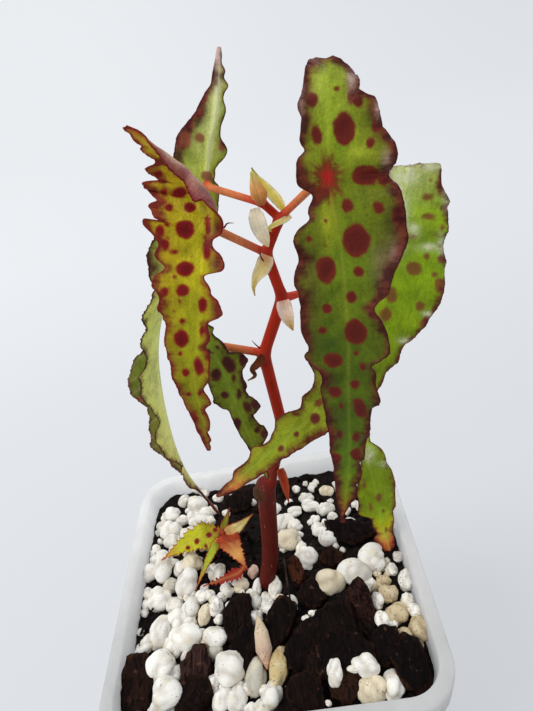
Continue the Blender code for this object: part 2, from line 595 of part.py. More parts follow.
RIGHT_BACK = {
    "rib": [(39.6, 10.5, 162.5), (38.6, 12, 156), (36.8, 13, 148.5), (34.8, 13, 139.7), (32.2, 11, 131.4),
            (29, 9, 122.7), (26.5, 8, 114.8), (25.9, 6, 109.7), (26.7, 5, 103.2), (27.4, 4, 94.8),
            (28.2, 4, 84.6), (29.3, 4, 79.2)],
    "facing": [(0.2, 0.6, -0.7), (0.1, 1, -0.2), (0, 1, 0), (0, 1, 0), (0, 1, 0), (0, 1, -0.1),
               (0, 1, -0.1), (0, 1, -0.1), (0, 1, -0.1), (0, 1, 0), (0, 1, 0), (0, 1, 0)],
    "left": [(0, 2.4), (0.6, 4.6), (4, 5.6), (7, 7.8), (10, 8.8), (12, 8.6), (16.5, 9.8), (20.5, 11.4),
             (23.6, 11.6), (26.7, 11.0), (29.8, 9.2), (34.2, 7.2), (37.4, 5.4), (41.8, 4.3), (44.5, 2.9),
             (53.8, 2.2), (57.8, 1.6), (61.8, 3.8), (64.9, 3.3), (70.3, 4.5), (76.1, 4.1), (80.9, 3.2),
             (86, 1.4), (87.4, 0.3)],
    "right": [(0, 1.4), (0.9, 2.8), (5, 4.6), (12, 6.4), (20, 7.0), (28, 6.6), (36, 5.2), (44, 3.6),
              (54, 2.6), (59.6, 1.4), (63.6, 1.8), (67.2, 3.0), (71.2, 4.0), (75.6, 4.5), (80, 4.2),
              (81, 2.4), (85, 1.8), (87.4, 0.3)],
    "fold_left": [(0, 6)], "fold_right": [(0, 6)],
    "attach": 18.0, "stations": 42,
}
LOW_BACK = {
    "rib": [(0.3, -3.5, 148.5), (1.3, -4, 144), (2.4, -4.5, 139), (3.2, -5, 133), (4, -5.5, 126),
            (5, -5.5, 119), (5.8, -5.5, 113)],
    "facing": [(0, -1, 0.1)] * 7,
    "left": [(0, 0.4), (3, 2.2), (8, 3.2), (13, 3.2), (15.6, 3.0), (18, 2.0), (21.7, 1.5), (27.5, 1.0),
             (36, 0.3)],
    "right": [(0, 0.5), (3.8, 2.8), (7.2, 2.3), (8.4, 4.2), (10, 5.0), (11.8, 3.2), (16.6, 2.9),
              (18.5, 4.2), (20.4, 2.1), (22.8, 2.3), (24.7, 3.8), (27, 2.4), (31, 1.3), (36, 0.3)],
    "attach": 6.5, "stations": 26,
}
LOW_FRONT = {
    "rib": [(20.9, -8, 140.7), (19.5, -9, 136.1), (18.1, -9, 132.3), (16, -9, 129.4), (13, -10, 127.5),
            (9.1, -11, 125.6), (5.1, -12, 123.1), (1.1, -13, 120.9), (-2.5, -14, 118.8)],
    "facing": [(0, -1, 0.4), (0, -1, 0.5), (0, -1, 0.5), (0, -1, 0.5), (0, -1, 0.5), (0, -1, 0.5),
               (0, -1, 0.4), (0, -1, 0.3), (0, -1, 0.2)],
    "left": [(0, 0.4), (1.5, 3.6), (3.6, 2.3), (5.2, 1.8), (7.6, 2.6), (9.5, 3.0), (12.3, 2.3),
             (15.3, 3.2), (17.7, 3.7), (18.9, 2.0), (20.5, 1.6), (24.1, 2.5), (30, 1.0), (34.5, 0.3)],
    "right": [(0, 0.4), (3, 3.0), (8, 4.0), (12.8, 3.8), (15, 3.7), (18.2, 2.8), (22.4, 2.7),
              (28, 2.0), (31.6, 1.0), (34.5, 0.3)],
    "attach": 9.5, "stations": 26,
}


def leaf_back(spec, offset):
    """A point behind the underside at the place where the leafstalk joins."""
    along, line, _, normal = blade_frame(spec, 160)
    place = np.array([np.interp(spec["attach"], along, line[:, k]) for k in range(3)])
    facing = np.array([np.interp(spec["attach"], along, normal[:, k]) for k in range(3)])
    return tuple(place - unit(facing) * offset)


def petiole(start, middle, spec, radius):
    """A leafstalk from the cane to just under its leaf, meeting it square on."""
    end = leaf_back(spec, BLADE_THICKNESS / 2 + GAP + 0.25)
    near = leaf_back(spec, BLADE_THICKNESS / 2 + GAP + 1.6)
    points = [start, *middle, near, end]
    radii = [radius * 1.25] + [radius] * (len(points) - 2) + [radius * 1.1]
    return tube("petiole", points, radii, 3 + len(points), PETIOLE_SIDES)


def make_stem():
    """The old cane, the zigzag young cane and the six leafstalks, grown together."""
    stem = tube("stem", CANE_PATH, CANE_RADII, CANE_RINGS, CANE_SIDES, paint("cane", (0.30, 0.07, 0.05), 0.45))
    level_foot(stem, SOIL_LEVEL - STEM_ROOT_DEPTH)
    young = tube("young_cane", YOUNG_PATH, YOUNG_RADII, 34, CANE_SIDES)
    stalks = [
        petiole((15.9, -1, 162.8), [(12.7, 0.4, 165.2), (9.8, 1.6, 166.4)], LEFT_BACK, 0.55),
        petiole((16.8, -1.4, 162.3), [(19.3, -4.5, 164.2), (21.4, -8.0, 166.6)], RIGHT_FRONT, 0.6),
        petiole((13.4, -1, 156.6), [(11.4, -2.4, 158.8), (9.4, -4.8, 162.2)], LEFT_FRONT, 0.65),
        petiole((14.9, -1, 148.2), [(17.6, 0.8, 147.2), (23.3, 4.6, 145.8), (30.0, 8.6, 145.2)], RIGHT_BACK, 0.65),
        petiole((9.8, -1, 138.4), [(7.4, -1.4, 140.2), (5.0, -1.9, 141.6)], LOW_BACK, 0.75),
        petiole((10.1, -1, 120.6), [(12.4, -2.6, 123.4), (15.6, -5.0, 128.4)], LOW_FRONT, 0.7),
    ]
    combine(stem, [young] + stalks, "UNION")
    soften(stem, 45)
    return stem


def make_leaf(name, spec, colour):
    material = paint(name + "_blade", colour, 0.4)
    leaf = sheet_solid(name, blade_sheet(spec, spec["stations"]), BLADE_THICKNESS, material)
    soften(leaf, 60)
    return leaf


# Papery stipules round the cane: rib, facing, half width, cup (fold angle), colour
STIPULES = {
    "stipule_top": ([(16.6, -2.7, 164.2), (16.0, -3.7, 166.4), (15.0, -4.4, 168.6), (13.9, -4.8, 170.6)],
                    (0.3, -1, 0.3), 1.1, 25, (0.75, 0.72, 0.42)),
    "stipule_side": ([(13.3, -4.0, 158.9), (13.2, -4.5, 161.2), (13.0, -4.9, 163.6), (13.0, -5.0, 165.8)],
                     (-0.2, -1, 0.2), 1.2, 30, (0.85, 0.78, 0.66)),
    "stipule_curled": ([(14.9, -3.4, 160.2), (16.2, -4.4, 161.4), (17.5, -4.9, 162.4), (18.5, -5.1, 162.8)],
                       (0, -1, 0.4), 0.8, 30, (0.82, 0.76, 0.56)),
    "stipule_upper": ([(13.3, -3.2, 156.6), (12.3, -3.8, 154.8), (11.1, -4.2, 152.8), (10.7, -4.3, 151.0)],
                      (-0.1, -1, 0.1), 1.4, 30, (0.87, 0.82, 0.74)),
    "stipule_middle": ([(15.0, -3.2, 148.6), (15.1, -3.8, 147.0), (15.4, -4.2, 145.4), (15.6, -4.3, 144.0)],
                       (0.1, -1, 0.1), 1.4, 30, (0.88, 0.82, 0.74)),
    "stipule_dry": ([(9.6, -3.2, 138.8), (8.6, -3.8, 138.2), (7.7, -4.2, 137.2), (6.5, -4.6, 136.4)],
                    (0.1, -1, 0.2), 0.9, 35, (0.45, 0.20, 0.07)),
    "stipule_low": ([(8.9, -2.6, 110.8), (8.9, -3.0, 108.4), (8.8, -3.4, 106.2), (8.6, -3.8, 103.8)],
                    (0.4, -1, 0), 1.0, 25, (0.45, 0.24, 0.08)),
}
STIPULE_SHAPE = [0.55, 0.95, 1.0, 0.8, 0.5, 0.25]


def make_stipule(name, rib, facing, half_width, cup, colour):
    """A small cupped, pointed scale."""
    length = run_line(rib, 2)[0][-1]
    margin = [(length * k / 5, max(0.3, half_width * share)) for k, share in enumerate(STIPULE_SHAPE)]
    spec = {"rib": rib, "facing": [facing] * len(rib), "left": margin, "right": margin,
            "fold_left": [(0, cup)], "fold_right": [(0, cup)], "bend": 1.0, "wave": 0.15, "pitch": 4.0}
    material = paint(name + "_paper", colour, 0.6)
    scale = sheet_solid(name, blade_sheet(spec, 8, 2), STIPULE_THICKNESS, material)
    soften(scale, 60)


def make_bud():
    """The closed growing tip above the last leafstalk."""
    path = [(16.0, -1.0, 164.5), (15.4, -1.0, 165.6), (14.7, -1.0, 167.0), (14.1, -1.0, 168.2)]
    bud = tube("growing_tip", path, [0.45, 0.9, 0.75, 0.25], 7, 8, paint("tip_scales", (0.42, 0.25, 0.16), 0.6))
    soften(bud, 50)


# The young shoot at the foot of the cane: rib, facing, half width, teeth
SHOOT_LEAVES = [
    ([(-11.4, 11.8, 79.0), (-14.5, 10.7, 80.6), (-19, 9.3, 80.8), (-23, 7.7, 80.2), (-26.5, 6.2, 79.4)],
     (0, -0.4, 1), 4.2, 0.9, 11),
    ([(-11.3, 12.0, 79.0), (-10, 13.4, 81.6), (-8.2, 14.8, 84.6)], (0.2, -1, 0.3), 0.9, 0.2, 6),
    ([(-11.0, 11.8, 79.0), (-7.0, 10.8, 81.6), (-3.0, 11.4, 84.0)], (0, -1, 0.6), 1.3, 0.2, 7),
    ([(-11.4, 11.6, 79.0), (-12.8, 6.6, 80.6), (-15.2, 1.2, 80.0), (-17.4, -3.2, 78.6)],
     (0, -0.3, 1), 1.1, 0.25, 7),
    ([(-11.0, 11.6, 79.0), (-8.4, 7.8, 80.8), (-6.0, 4.4, 80.6), (-4.6, 1.8, 79.8)],
     (0.3, -0.4, 1), 2.6, 0.6, 7),
    ([(-5.2, 3.0, 80.2), (-6.4, 0.6, 80.0), (-10.4, -1.0, 79.6), (-15.4, -2.0, 78.8)],
     (0, -0.5, 1), 1.3, 0.6, 9),
]


def shoot_leaf(rib, facing, half_width, tooth, stations):
    """A small pointed leaf whose margin steps in and out at each station."""
    length = run_line(rib, 2)[0][-1]
    margin = []
    for k in range(stations):
        share = k / (stations - 1)
        shape = 0.3 + 0.7 * math.sin(math.pi * min(1.0, 0.12 + share * 0.88)) ** 0.8
        width = half_width * shape * (1.0 - 0.55 * share) - (tooth if k % 2 else 0.0)
        margin.append((length * share, max(0.35, width)))
    spec = {"rib": rib, "facing": [facing] * len(rib), "left": margin, "right": margin,
            "fold_left": [(0, 16)], "fold_right": [(0, 16)], "wave": 0.3, "pitch": 5.0}
    return sheet_solid("shoot_leaf", blade_sheet(spec, stations, 2), BLADE_THICKNESS)


def make_shoot():
    """A short stub with six small leaves, grown into one body."""
    shoot = tube("basal_shoot", SHOOT_STUB, [SHOOT_RADIUS] * 3, 5, CANE_SIDES, paint("young_leaf", (0.42, 0.46, 0.06), 0.4))
    level_foot(shoot, SOIL_LEVEL - SHOOT_ROOT_DEPTH)
    combine(shoot, [shoot_leaf(*row) for row in SHOOT_LEAVES], "UNION")
    soften(shoot, 60)


def main():
    clear_scene()
    make_pot()
    make_potting_mix()
    make_stem()
    make_leaf("leaf_right_front", RIGHT_FRONT, (0.20, 0.28, 0.04))
    make_leaf("leaf_left_front", LEFT_FRONT, (0.36, 0.40, 0.04))
    make_leaf("leaf_left_back", LEFT_BACK, (0.30, 0.38, 0.10))
    make_leaf("leaf_right_back", RIGHT_BACK, (0.28, 0.42, 0.08))
    make_leaf("leaf_low_back", LOW_BACK, (0.16, 0.22, 0.03))
    make_leaf("leaf_low_front", LOW_FRONT, (0.34, 0.42, 0.04))
    for name, row in STIPULES.items():
        make_stipule(name, *row)
    make_bud()
    make_shoot()


main()
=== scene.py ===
# %% [markdown]
# # A spotted begonia in a nursery pot
# This lesson dresses a finished construction model with the looks of the real plant. The frame
# holds one body, because nothing on a potted plant is hinged. Every visible surface below is
# worked out with numpy as a function on a grid, so that each form can be read as a formula.

import math

import bmesh
import bpy
import numpy as np
from mathutils import Matrix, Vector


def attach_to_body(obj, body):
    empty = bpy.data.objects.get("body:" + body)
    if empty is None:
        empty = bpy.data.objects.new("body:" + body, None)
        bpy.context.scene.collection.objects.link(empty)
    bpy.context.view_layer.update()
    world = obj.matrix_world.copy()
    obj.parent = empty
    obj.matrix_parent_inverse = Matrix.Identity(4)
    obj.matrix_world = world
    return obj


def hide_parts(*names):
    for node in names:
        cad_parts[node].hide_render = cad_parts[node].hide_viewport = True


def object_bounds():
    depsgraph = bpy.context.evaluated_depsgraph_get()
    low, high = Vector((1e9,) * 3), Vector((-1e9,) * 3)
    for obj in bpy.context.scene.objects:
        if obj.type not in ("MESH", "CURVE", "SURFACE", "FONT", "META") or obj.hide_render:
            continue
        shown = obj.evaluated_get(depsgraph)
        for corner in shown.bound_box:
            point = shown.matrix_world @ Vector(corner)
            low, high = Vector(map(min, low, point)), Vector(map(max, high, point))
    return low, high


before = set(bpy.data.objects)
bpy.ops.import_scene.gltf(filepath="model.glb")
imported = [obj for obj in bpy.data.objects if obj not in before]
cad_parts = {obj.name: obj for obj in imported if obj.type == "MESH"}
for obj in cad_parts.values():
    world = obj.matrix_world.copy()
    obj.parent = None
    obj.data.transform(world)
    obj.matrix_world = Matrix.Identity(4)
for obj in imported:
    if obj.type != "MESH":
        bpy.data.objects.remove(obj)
cad_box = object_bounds()
MM = 0.001
EDGE_ROOM = 0.00002

# %% [markdown]
# ## The camera
# The photograph looks down on the plant from close by, with the camera turned a little on its
# own axis. The camera is needed first, because spots and stones are placed below by the pixel
# that shows them: a ray from the camera through the pixel meets the leaf or the soil.

# %% Camera
PHOTO_WIDTH = 533
PHOTO_HEIGHT = 711
FOCAL_PIXELS = 540.0
CAMERA_PLACE = np.array([16.0, -81.5, 188.0])
YAW, PITCH, ROLL = np.radians([4.1, 31.9, -12.0])
SENSOR_HEIGHT = 24.0


def camera_axes():
    """The directions right, up and forward of the camera: yaw about Z, then pitch down, then roll."""
    level = np.array([math.cos(YAW), math.sin(YAW), 0.0])
    ahead = np.array([-math.sin(YAW), math.cos(YAW), 0.0])
    down = np.array([0.0, 0.0, -1.0])
    forward = math.cos(PITCH) * ahead + math.sin(PITCH) * down
    upright = math.sin(PITCH) * ahead - math.cos(PITCH) * down
    right = math.cos(ROLL) * level + math.sin(ROLL) * upright
    up = -math.sin(ROLL) * level + math.cos(ROLL) * upright
    return right, up, forward


RIGHT, UP, FORWARD = camera_axes()


def to_photo(points):
    """Pixel columns, pixel rows and depths (mm) of points: offset over depth, times the focal length."""
    offset = np.asarray(points, float) - CAMERA_PLACE
    depth = offset @ FORWARD
    px = PHOTO_WIDTH / 2 + FOCAL_PIXELS * (offset @ RIGHT) / depth
    py = PHOTO_HEIGHT / 2 - FOCAL_PIXELS * (offset @ UP) / depth
    return px, py, depth


def at_height(px, py, height):
    """The point where the ray through a pixel meets a level plane, and its depth."""
    off_x, off_y = px - PHOTO_WIDTH / 2, py - PHOTO_HEIGHT / 2
    ray = FORWARD + RIGHT * off_x / FOCAL_PIXELS - UP * off_y / FOCAL_PIXELS
    depth = (height - CAMERA_PLACE[2]) / ray[2]
    return CAMERA_PLACE + ray * depth, depth


def make_camera():
    """The camera at its place, with the lens that gives the focal length in pixels."""
    data = bpy.data.cameras.new("photo_camera")
    data.sensor_fit = "VERTICAL"
    data.sensor_height = SENSOR_HEIGHT
    data.lens = FOCAL_PIXELS / PHOTO_HEIGHT * SENSOR_HEIGHT
    data.clip_start = 0.002
    camera = bpy.data.objects.new("photo_camera", data)
    turn = Matrix([RIGHT, UP, -FORWARD]).transposed()
    camera.matrix_world = Matrix.Translation(CAMERA_PLACE * MM) @ turn.to_4x4()
    bpy.context.scene.collection.objects.link(camera)
    bpy.context.scene.camera = camera
    return camera


camera = make_camera()
print("camera lens %.2f mm" % camera.data.lens)

# %% [markdown]
# ## Helpers for materials
# Every finish is a small tree of nodes. One function adds a node and fills its inputs, and a few
# short ones stand for the steps that come up again and again.

# %% Nodes in few words
def srgb(colour):
    """A screen colour with parts from 0 to 255 as the linear colour that shaders use."""
    part = np.asarray(colour, float) / 255
    return np.where(part <= 0.04045, part / 12.92, ((part + 0.055) / 1.055) ** 2.4)


def fill(tree, item, inputs):
    """Give a node its inputs: a socket is linked, any other value is written in."""
    for key, value in inputs.items():
        socket = item.inputs[key]
        if isinstance(value, bpy.types.NodeSocket):
            tree.links.new(value, socket)
        elif socket.type == "RGBA" and len(value) == 3:
            socket.default_value = (*value, 1.0)
        else:
            socket.default_value = value


def add_node(tree, kind, inputs, **settings):
    """A new node with its settings and inputs."""
    item = tree.nodes.new(kind)
    for key, value in settings.items():
        setattr(item, key, value)
    fill(tree, item, inputs)
    return item


def compute(tree, operation, *values):
    """One step of arithmetic, by the name that Blender gives it."""
    return add_node(tree, "ShaderNodeMath", dict(enumerate(values)), operation=operation).outputs[0]


def blend_colours(tree, share, low, high, how="MIX"):
    """The colour low where share is 0 and high where it is 1; a tuple is a screen colour."""
    low, high = (srgb(value) if isinstance(value, tuple) else value for value in (low, high))
    inputs = {0: share, 6: low, 7: high}
    return add_node(tree, "ShaderNodeMix", inputs, data_type="RGBA", blend_type=how).outputs[2]


def soft_step(tree, value, start, end):
    """0 up to start, 1 from end on, with a smooth change between; start may be the larger."""
    inputs = {"Value": value, "From Min": start, "From Max": end}
    return add_node(tree, "ShaderNodeMapRange", inputs, interpolation_type="SMOOTHSTEP").outputs[0]


def noise(tree, place, size, detail=2.0, distortion=0.0):
    """Noise whose features are about size millimetres across, from 0 to 1."""
    inputs = {"Vector": place, "Scale": 1000.0 / size, "Detail": detail, "Distortion": distortion}
    return add_node(tree, "ShaderNodeTexNoise", inputs).outputs[0]


def field(tree, name, output="Fac"):
    """A point attribute of the surface."""
    return add_node(tree, "ShaderNodeAttribute", {}, attribute_name=name).outputs[output]


def shaded_ground(tree, shade):
    """The colour kept on the surface, made darker or brighter by a factor."""
    grey = add_node(tree, "ShaderNodeCombineColor", {0: shade, 1: shade, 2: shade}).outputs[0]
    return blend_colours(tree, 1.0, field(tree, "ground", "Color"), grey, "MULTIPLY")


def object_place(tree):
    """The place of a point in metres, in the object's own frame."""
    return add_node(tree, "ShaderNodeTexCoord", {}).outputs["Object"]


def stretched_place(tree, place, scale):
    """A place with its axes scaled, so that a noise read there is drawn out."""
    return add_node(tree, "ShaderNodeMapping", {"Vector": place, "Scale": scale}).outputs[0]


def part_of_place(tree, place, axis):
    """One coordinate of a place."""
    return add_node(tree, "ShaderNodeSeparateXYZ", {"Vector": place}).outputs[axis]


def cells(tree, place, count):
    """Distance to the middle of the nearest cell, with so many cells a metre."""
    return add_node(tree, "ShaderNodeTexVoronoi", {"Vector": place, "Scale": count}).outputs["Distance"]


def new_material(name):
    """An empty Principled material, its tree and its shader."""
    material = bpy.data.materials.new(name)
    material.use_nodes = True
    return material, material.node_tree, material.node_tree.nodes["Principled BSDF"]


def finish(tree, shader, colour, roughness, specular, relief, strength, depth):
    """Give a material its colour, roughness and gloss, and a relief that is so many metres deep."""
    bump = add_node(tree, "ShaderNodeBump", {"Height": relief, "Strength": strength, "Distance": depth})
    fill(tree, shader, {"Base Color": colour, "Roughness": roughness, "Specular IOR Level": specular,
                        "Normal": bump.outputs[0]})


def let_light_through(tree, shader, colour, share):
    """Mix a share of translucency into a thin surface, so that light from behind shows."""
    glow = add_node(tree, "ShaderNodeBsdfTranslucent", {"Color": colour})
    mixer = add_node(tree, "ShaderNodeMixShader", {0: share, 1: shader.outputs[0], 2: glow.outputs[0]})
    fill(tree, tree.nodes["Material Output"], {"Surface": mixer.outputs[0]})


# %% [markdown]
# ## Light and backdrop
# The photograph is taken in soft daylight before a pale wall. A seamless sweep, level under the
# pot and curving up behind it, gives the same even ground; it glows with painted light, weaker as
# painted shade to the right and near the pot, and the sky dome lights it from all sides. Two large
# soft lamps add the gentle direction that shows the waves of the leaves.

# %% Backdrop, sky and lamps
BACKDROP_COLOUR = (0.22, 0.23, 0.24)
BACKDROP_LIGHT = (0.585, 0.595, 0.61)
BACKDROP_SHADE = (0.36, 0.365, 0.385)
SKY_COLOUR = (0.96, 0.98, 1.0)
SKY_STRENGTH = 0.80
SWEEP_HALF_WIDTH = 2.4
SWEEP_RADIUS = 0.7
SWEEP_BACK = 1.1
SWEEP_FRONT = -2.4
SWEEP_TOP = 2.6


def sweep_profile():
    """Floor from the front, then a quarter circle, then a wall: points (y, z) in metres."""
    turn = np.linspace(0, math.pi / 2, 25)
    bend = np.column_stack([SWEEP_BACK + SWEEP_RADIUS * np.sin(turn), SWEEP_RADIUS * (1 - np.cos(turn))])
    return np.vstack([[SWEEP_FRONT, 0.0], bend, [SWEEP_BACK + SWEEP_RADIUS, SWEEP_TOP]])


def backdrop_material():
    """Paper that glows with painted light, so that it stays even, with painted shade: darker to the right
    and near the pot.
    """
    material, tree, shader = new_material("backdrop_paper")
    place = object_place(tree)
    # Painted shade: the glow of the paper is weaker to the right and near the pot.
    painted_shade_to_right = compute(tree, "MULTIPLY", soft_step(tree, part_of_place(tree, place, "X"), -0.6, 0.8), 0.55)
    near = soft_step(tree, part_of_place(tree, place, "Y"), 0.5, -0.05)
    shade = compute(tree, "MULTIPLY_ADD", near, 0.45, painted_shade_to_right)
    colours = {0: shade, 6: BACKDROP_LIGHT, 7: BACKDROP_SHADE}
    glow = add_node(tree, "ShaderNodeMix", colours, data_type="RGBA").outputs[2]
    fill(tree, shader, {"Base Color": BACKDROP_COLOUR, "Roughness": 0.9, "Specular IOR Level": 0.0,
                        "Emission Color": glow, "Emission Strength": 1.0})
    return material


def make_backdrop():
    """The profile drawn out to both sides, as part of the stage."""
    profile = sweep_profile()
    count = len(profile)
    left = np.column_stack([np.full(count, -SWEEP_HALF_WIDTH), profile])
    right = np.column_stack([np.full(count, SWEEP_HALF_WIDTH), profile])
    faces = [(k, k + count, k + count + 1, k + 1) for k in range(count - 1)]
    mesh = bpy.data.meshes.new("backdrop")
    mesh.from_pydata(np.vstack([left, right]).tolist(), [], faces)
    mesh.shade_smooth()
    mesh.materials.append(backdrop_material())
    backdrop = bpy.data.objects.new("backdrop", mesh)
    bpy.context.scene.collection.objects.link(backdrop)


def make_lamp(name, place, size, power, colour):
    """A square soft lamp that faces the plant."""
    data = bpy.data.lights.new(name, "AREA")
    data.size = size
    data.energy = power
    data.color = colour
    lamp = bpy.data.objects.new(name, data)
    place = np.array(place, float)
    aim = np.array([0.0, 0.0, 0.12]) - place
    back = -aim / np.linalg.norm(aim)
    across = np.cross([0.0, 0.0, 1.0], back)
    across /= np.linalg.norm(across)
    turn = Matrix([across, np.cross(back, across), back]).transposed()
    lamp.matrix_world = Matrix.Translation(place) @ turn.to_4x4()
    bpy.context.scene.collection.objects.link(lamp)


make_backdrop()
sky = bpy.data.worlds.new("daylight")
sky.use_nodes = True
sky.node_tree.nodes["Background"].inputs["Color"].default_value = (*SKY_COLOUR, 1.0)
sky.node_tree.nodes["Background"].inputs["Strength"].default_value = SKY_STRENGTH
bpy.context.scene.world = sky
make_lamp("window", (-1.1, -0.5, 1.7), 0.9, 22.0, (1.0, 0.985, 0.96))
make_lamp("back_light", (1.0, 1.2, 1.3), 0.8, 9.0, (0.97, 0.98, 1.0))
bpy.context.scene.view_settings.view_transform = "Standard"
print("stage ready")

# %% [markdown]
# ## Helpers for meshes
# A piece is made from an array of points in millimetres and a list of faces. Values that belong
# to the surface, such as the distance to a leaf's margin, are kept with it as attributes, and the
# materials read them.

# %% From points to a piece
def store_field(mesh, name, values):
    """Keep one value or one colour for each point of a mesh, where the material can read it."""
    values = np.asarray(values, np.float32)
    if values.ndim == 2:
        colours = np.column_stack([values, np.ones(len(values), np.float32)])
        mesh.attributes.new(name, "FLOAT_COLOR", "POINT").data.foreach_set("color", colours.ravel())
    else:
        mesh.attributes.new(name, "FLOAT", "POINT").data.foreach_set("value", values)


def add_piece(name, points, faces, material, slot, node, fields=None):
    """One closed, smooth object that rides on the one body and stands in for a node.

    Its points are kept just inside the construction model's box; fields are its point attributes.
    """
    mesh = bpy.data.meshes.new(name)
    low, high = np.asarray(cad_box[0]) + EDGE_ROOM, np.asarray(cad_box[1]) - EDGE_ROOM
    mesh.from_pydata(np.clip(np.asarray(points) * MM, low, high).tolist(), [], faces)
    for key, values in (fields or {}).items():
        store_field(mesh, key, values)
    mesh.materials.append(material)
    work = bmesh.new()
    work.from_mesh(mesh)
    bmesh.ops.recalc_face_normals(work, faces=work.faces)
    work.to_mesh(mesh)
    work.free()
    mesh.shade_smooth()
    piece = bpy.data.objects.new(name, mesh)
    bpy.context.scene.collection.objects.link(piece)
    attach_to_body(piece, "root")
    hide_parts(node)
    print("%-22s %6d points" % (name, len(points)))


def joined_faces(parts):
    """The faces of all parts, with their points numbered on from part to part."""
    offset, faces = 0, []
    for points, part_faces, _ in parts:
        faces += [tuple(int(k) + offset for k in face) for face in part_faces]
        offset += len(points)
    return faces


def add_joined(name, parts, material, slot, node):
    """One piece made of several closed parts, each given as its points, faces and fields."""
    points = np.vstack([part[0] for part in parts])
    fields = {key: np.concatenate([part[2][key] for part in parts]) for key in parts[0][2]}
    add_piece(name, points, joined_faces(parts), material, slot, node, fields)


def unit(rows):
    """The rows as directions of length 1."""
    return rows / np.linalg.norm(rows, axis=-1, keepdims=True)


def sway(x, seed):
    """Smooth, uneven values from -1 to 1 along x: three sine waves whose lengths share no rhythm."""
    start = seed * 2.399
    return (np.sin(x + start) + np.sin(2.17 * x + 1.7 * start) + np.sin(3.71 * x + 2.3 * start)) / 3


def grid_quads(rows, columns, closed=False):
    """Quads of a grid of points numbered row by row; a closed grid joins its last column to its first."""
    wide = columns if closed else columns - 1
    row, column = np.meshgrid(np.arange(rows - 1), np.arange(wide), indexing="ij")
    a = row * columns + column
    b = row * columns + (column + 1) % columns
    return np.stack([a, a + columns, b + columns, b], axis=-1).reshape(-1, 4)


def capped_rings(rows, columns, turned=False):
    """Faces of a stack of rings that two poles close; the poles are the last two points."""
    count = rows * columns
    here = np.arange(columns)
    a, b = (np.roll(here, -1), here) if turned else (here, np.roll(here, -1))
    first = np.column_stack([np.full(columns, count), a, b])
    last = np.column_stack([np.full(columns, count + 1), count - columns + b, count - columns + a])
    return grid_quads(rows, columns, closed=True).tolist() + first.tolist() + last.tolist()


def about_z(angle):
    """The matrix that turns rows of points about the Z axis, as rows @ matrix."""
    c, s = math.cos(angle), math.sin(angle)
    return np.array([[c, s, 0], [-s, c, 0], [0, 0, 1]])


# %% [markdown]
# ## Curves
# Midribs, leafstalks and canes are smooth curves through a few listed points. A cubic
# with slopes taken from both neighbours passes through all of them without overshooting.

# %% Smooth curves through points
def through(knots, values, at):
    """Cubic curve through the values at the knots, with slopes taken from both neighbours."""
    knots = np.asarray(knots, float)
    values = np.asarray(values, float)
    step = np.diff(knots)[:, None]
    chord = np.diff(values, axis=0) / step
    inner = (chord[:-1] * step[1:] + chord[1:] * step[:-1]) / (step[:-1] + step[1:])
    slope = np.vstack([chord[:1], inner, chord[-1:]])
    index = np.clip(np.searchsorted(knots, at, side="right") - 1, 0, len(knots) - 2)
    span = step[index]
    t = ((at - knots[index]) / span[:, 0])[:, None]
    start = (2 * t**3 - 3 * t**2 + 1) * values[index] + (t**3 - 2 * t**2 + t) * span * slope[index]
    end = (3 * t**2 - 2 * t**3) * values[index + 1] + (t**3 - t**2) * span * slope[index + 1]
    return start + end


def run_line(points, count):
    """Evenly spaced points on a smooth curve, their distances along it, and the knots' distances."""
    points = np.asarray(points, float)
    knots = np.r_[0, np.cumsum(np.linalg.norm(np.diff(points, axis=0), axis=1))]
    fine = through(knots, points, np.linspace(0, knots[-1], 600))
    length = np.r_[0, np.cumsum(np.linalg.norm(np.diff(fine, axis=0), axis=1))]
    along = np.linspace(0, length[-1], count)
    line = np.column_stack([np.interp(along, length, fine[:, k]) for k in range(3)])
    return along, line, knots * length[-1] / knots[-1]


def table(pairs, at):
    """Straight lines between (distance, value) pairs."""
    return np.interp(at, *np.transpose(np.asarray(pairs, float)))


# %% [markdown]
# ## Outlines seen in the photograph
# The lobes and teeth of each leaf are its own, and no formula gives them. Where the photograph
# shows a margin, its outline was read off as a list of pixels. A row of the blade then
# ends where, seen from the camera, it leaves that outline.

# %% Inside an outline
def inside(outline, x, y):
    """Which points lie within an outline, by counting the sides that a ray crosses."""
    hit = np.zeros(x.shape, bool)
    for (ax, ay), (bx, by) in zip(outline, outline[1:] + outline[:1]):
        if ay != by:
            hit ^= ((ay > y) != (by > y)) & (x < ax + (y - ay) * (bx - ax) / (by - ay))
    return hit


SIDES = ("left", "right")
REACH_STEP = 0.06
REACH_END = 13.0


def steady(value):
    """A table with one value all along."""
    return [(0, value), (1, value)]


def way_out(spec, side, along, right, normal, reach):
    """Direction of each stride of each row, out to one side: it leans back and turns up by the fold."""
    sign = -1.0 if side == "left" else 1.0
    lean = np.radians(table(spec.get("lean_" + side, steady(0)), along))[:, None]
    forward = np.cross(right, normal)
    level = sign * np.cos(lean) * right - np.sin(lean) * forward
    angle = np.radians(table(spec.get("fold_" + side, steady(8)), along))
    turn = angle[:, None] * np.clip(reach / spec.get("bend", 2.5), 0.0, 1.0)
    return np.cos(turn)[..., None] * level[:, None] + np.sin(turn)[..., None] * normal[:, None]


def seen_width(spec, side, along, line, right, normal, width):
    """Half width of each row: where it first leaves the outline, or the table's where that is hidden."""
    reach = np.arange(REACH_STEP, REACH_END, REACH_STEP)
    step = way_out(spec, side, along, right, normal, reach[None])
    px, py, _ = to_photo(line[:, None] + np.cumsum(step, axis=1) * REACH_STEP)
    hit = np.zeros(px.shape, bool)
    for outline in spec.get("outlines_" + side, spec["outlines"]):
        hit |= inside(outline, px, py)
    gone = np.logical_or.accumulate(hit, axis=1) & ~hit
    trusted = np.zeros(len(along), bool)
    for start, end in spec["seen_" + side]:
        trusted |= (along >= start) & (along <= end)
    return np.where(gone.any(axis=1) & trusted, reach[np.argmax(gone, axis=1)], width)


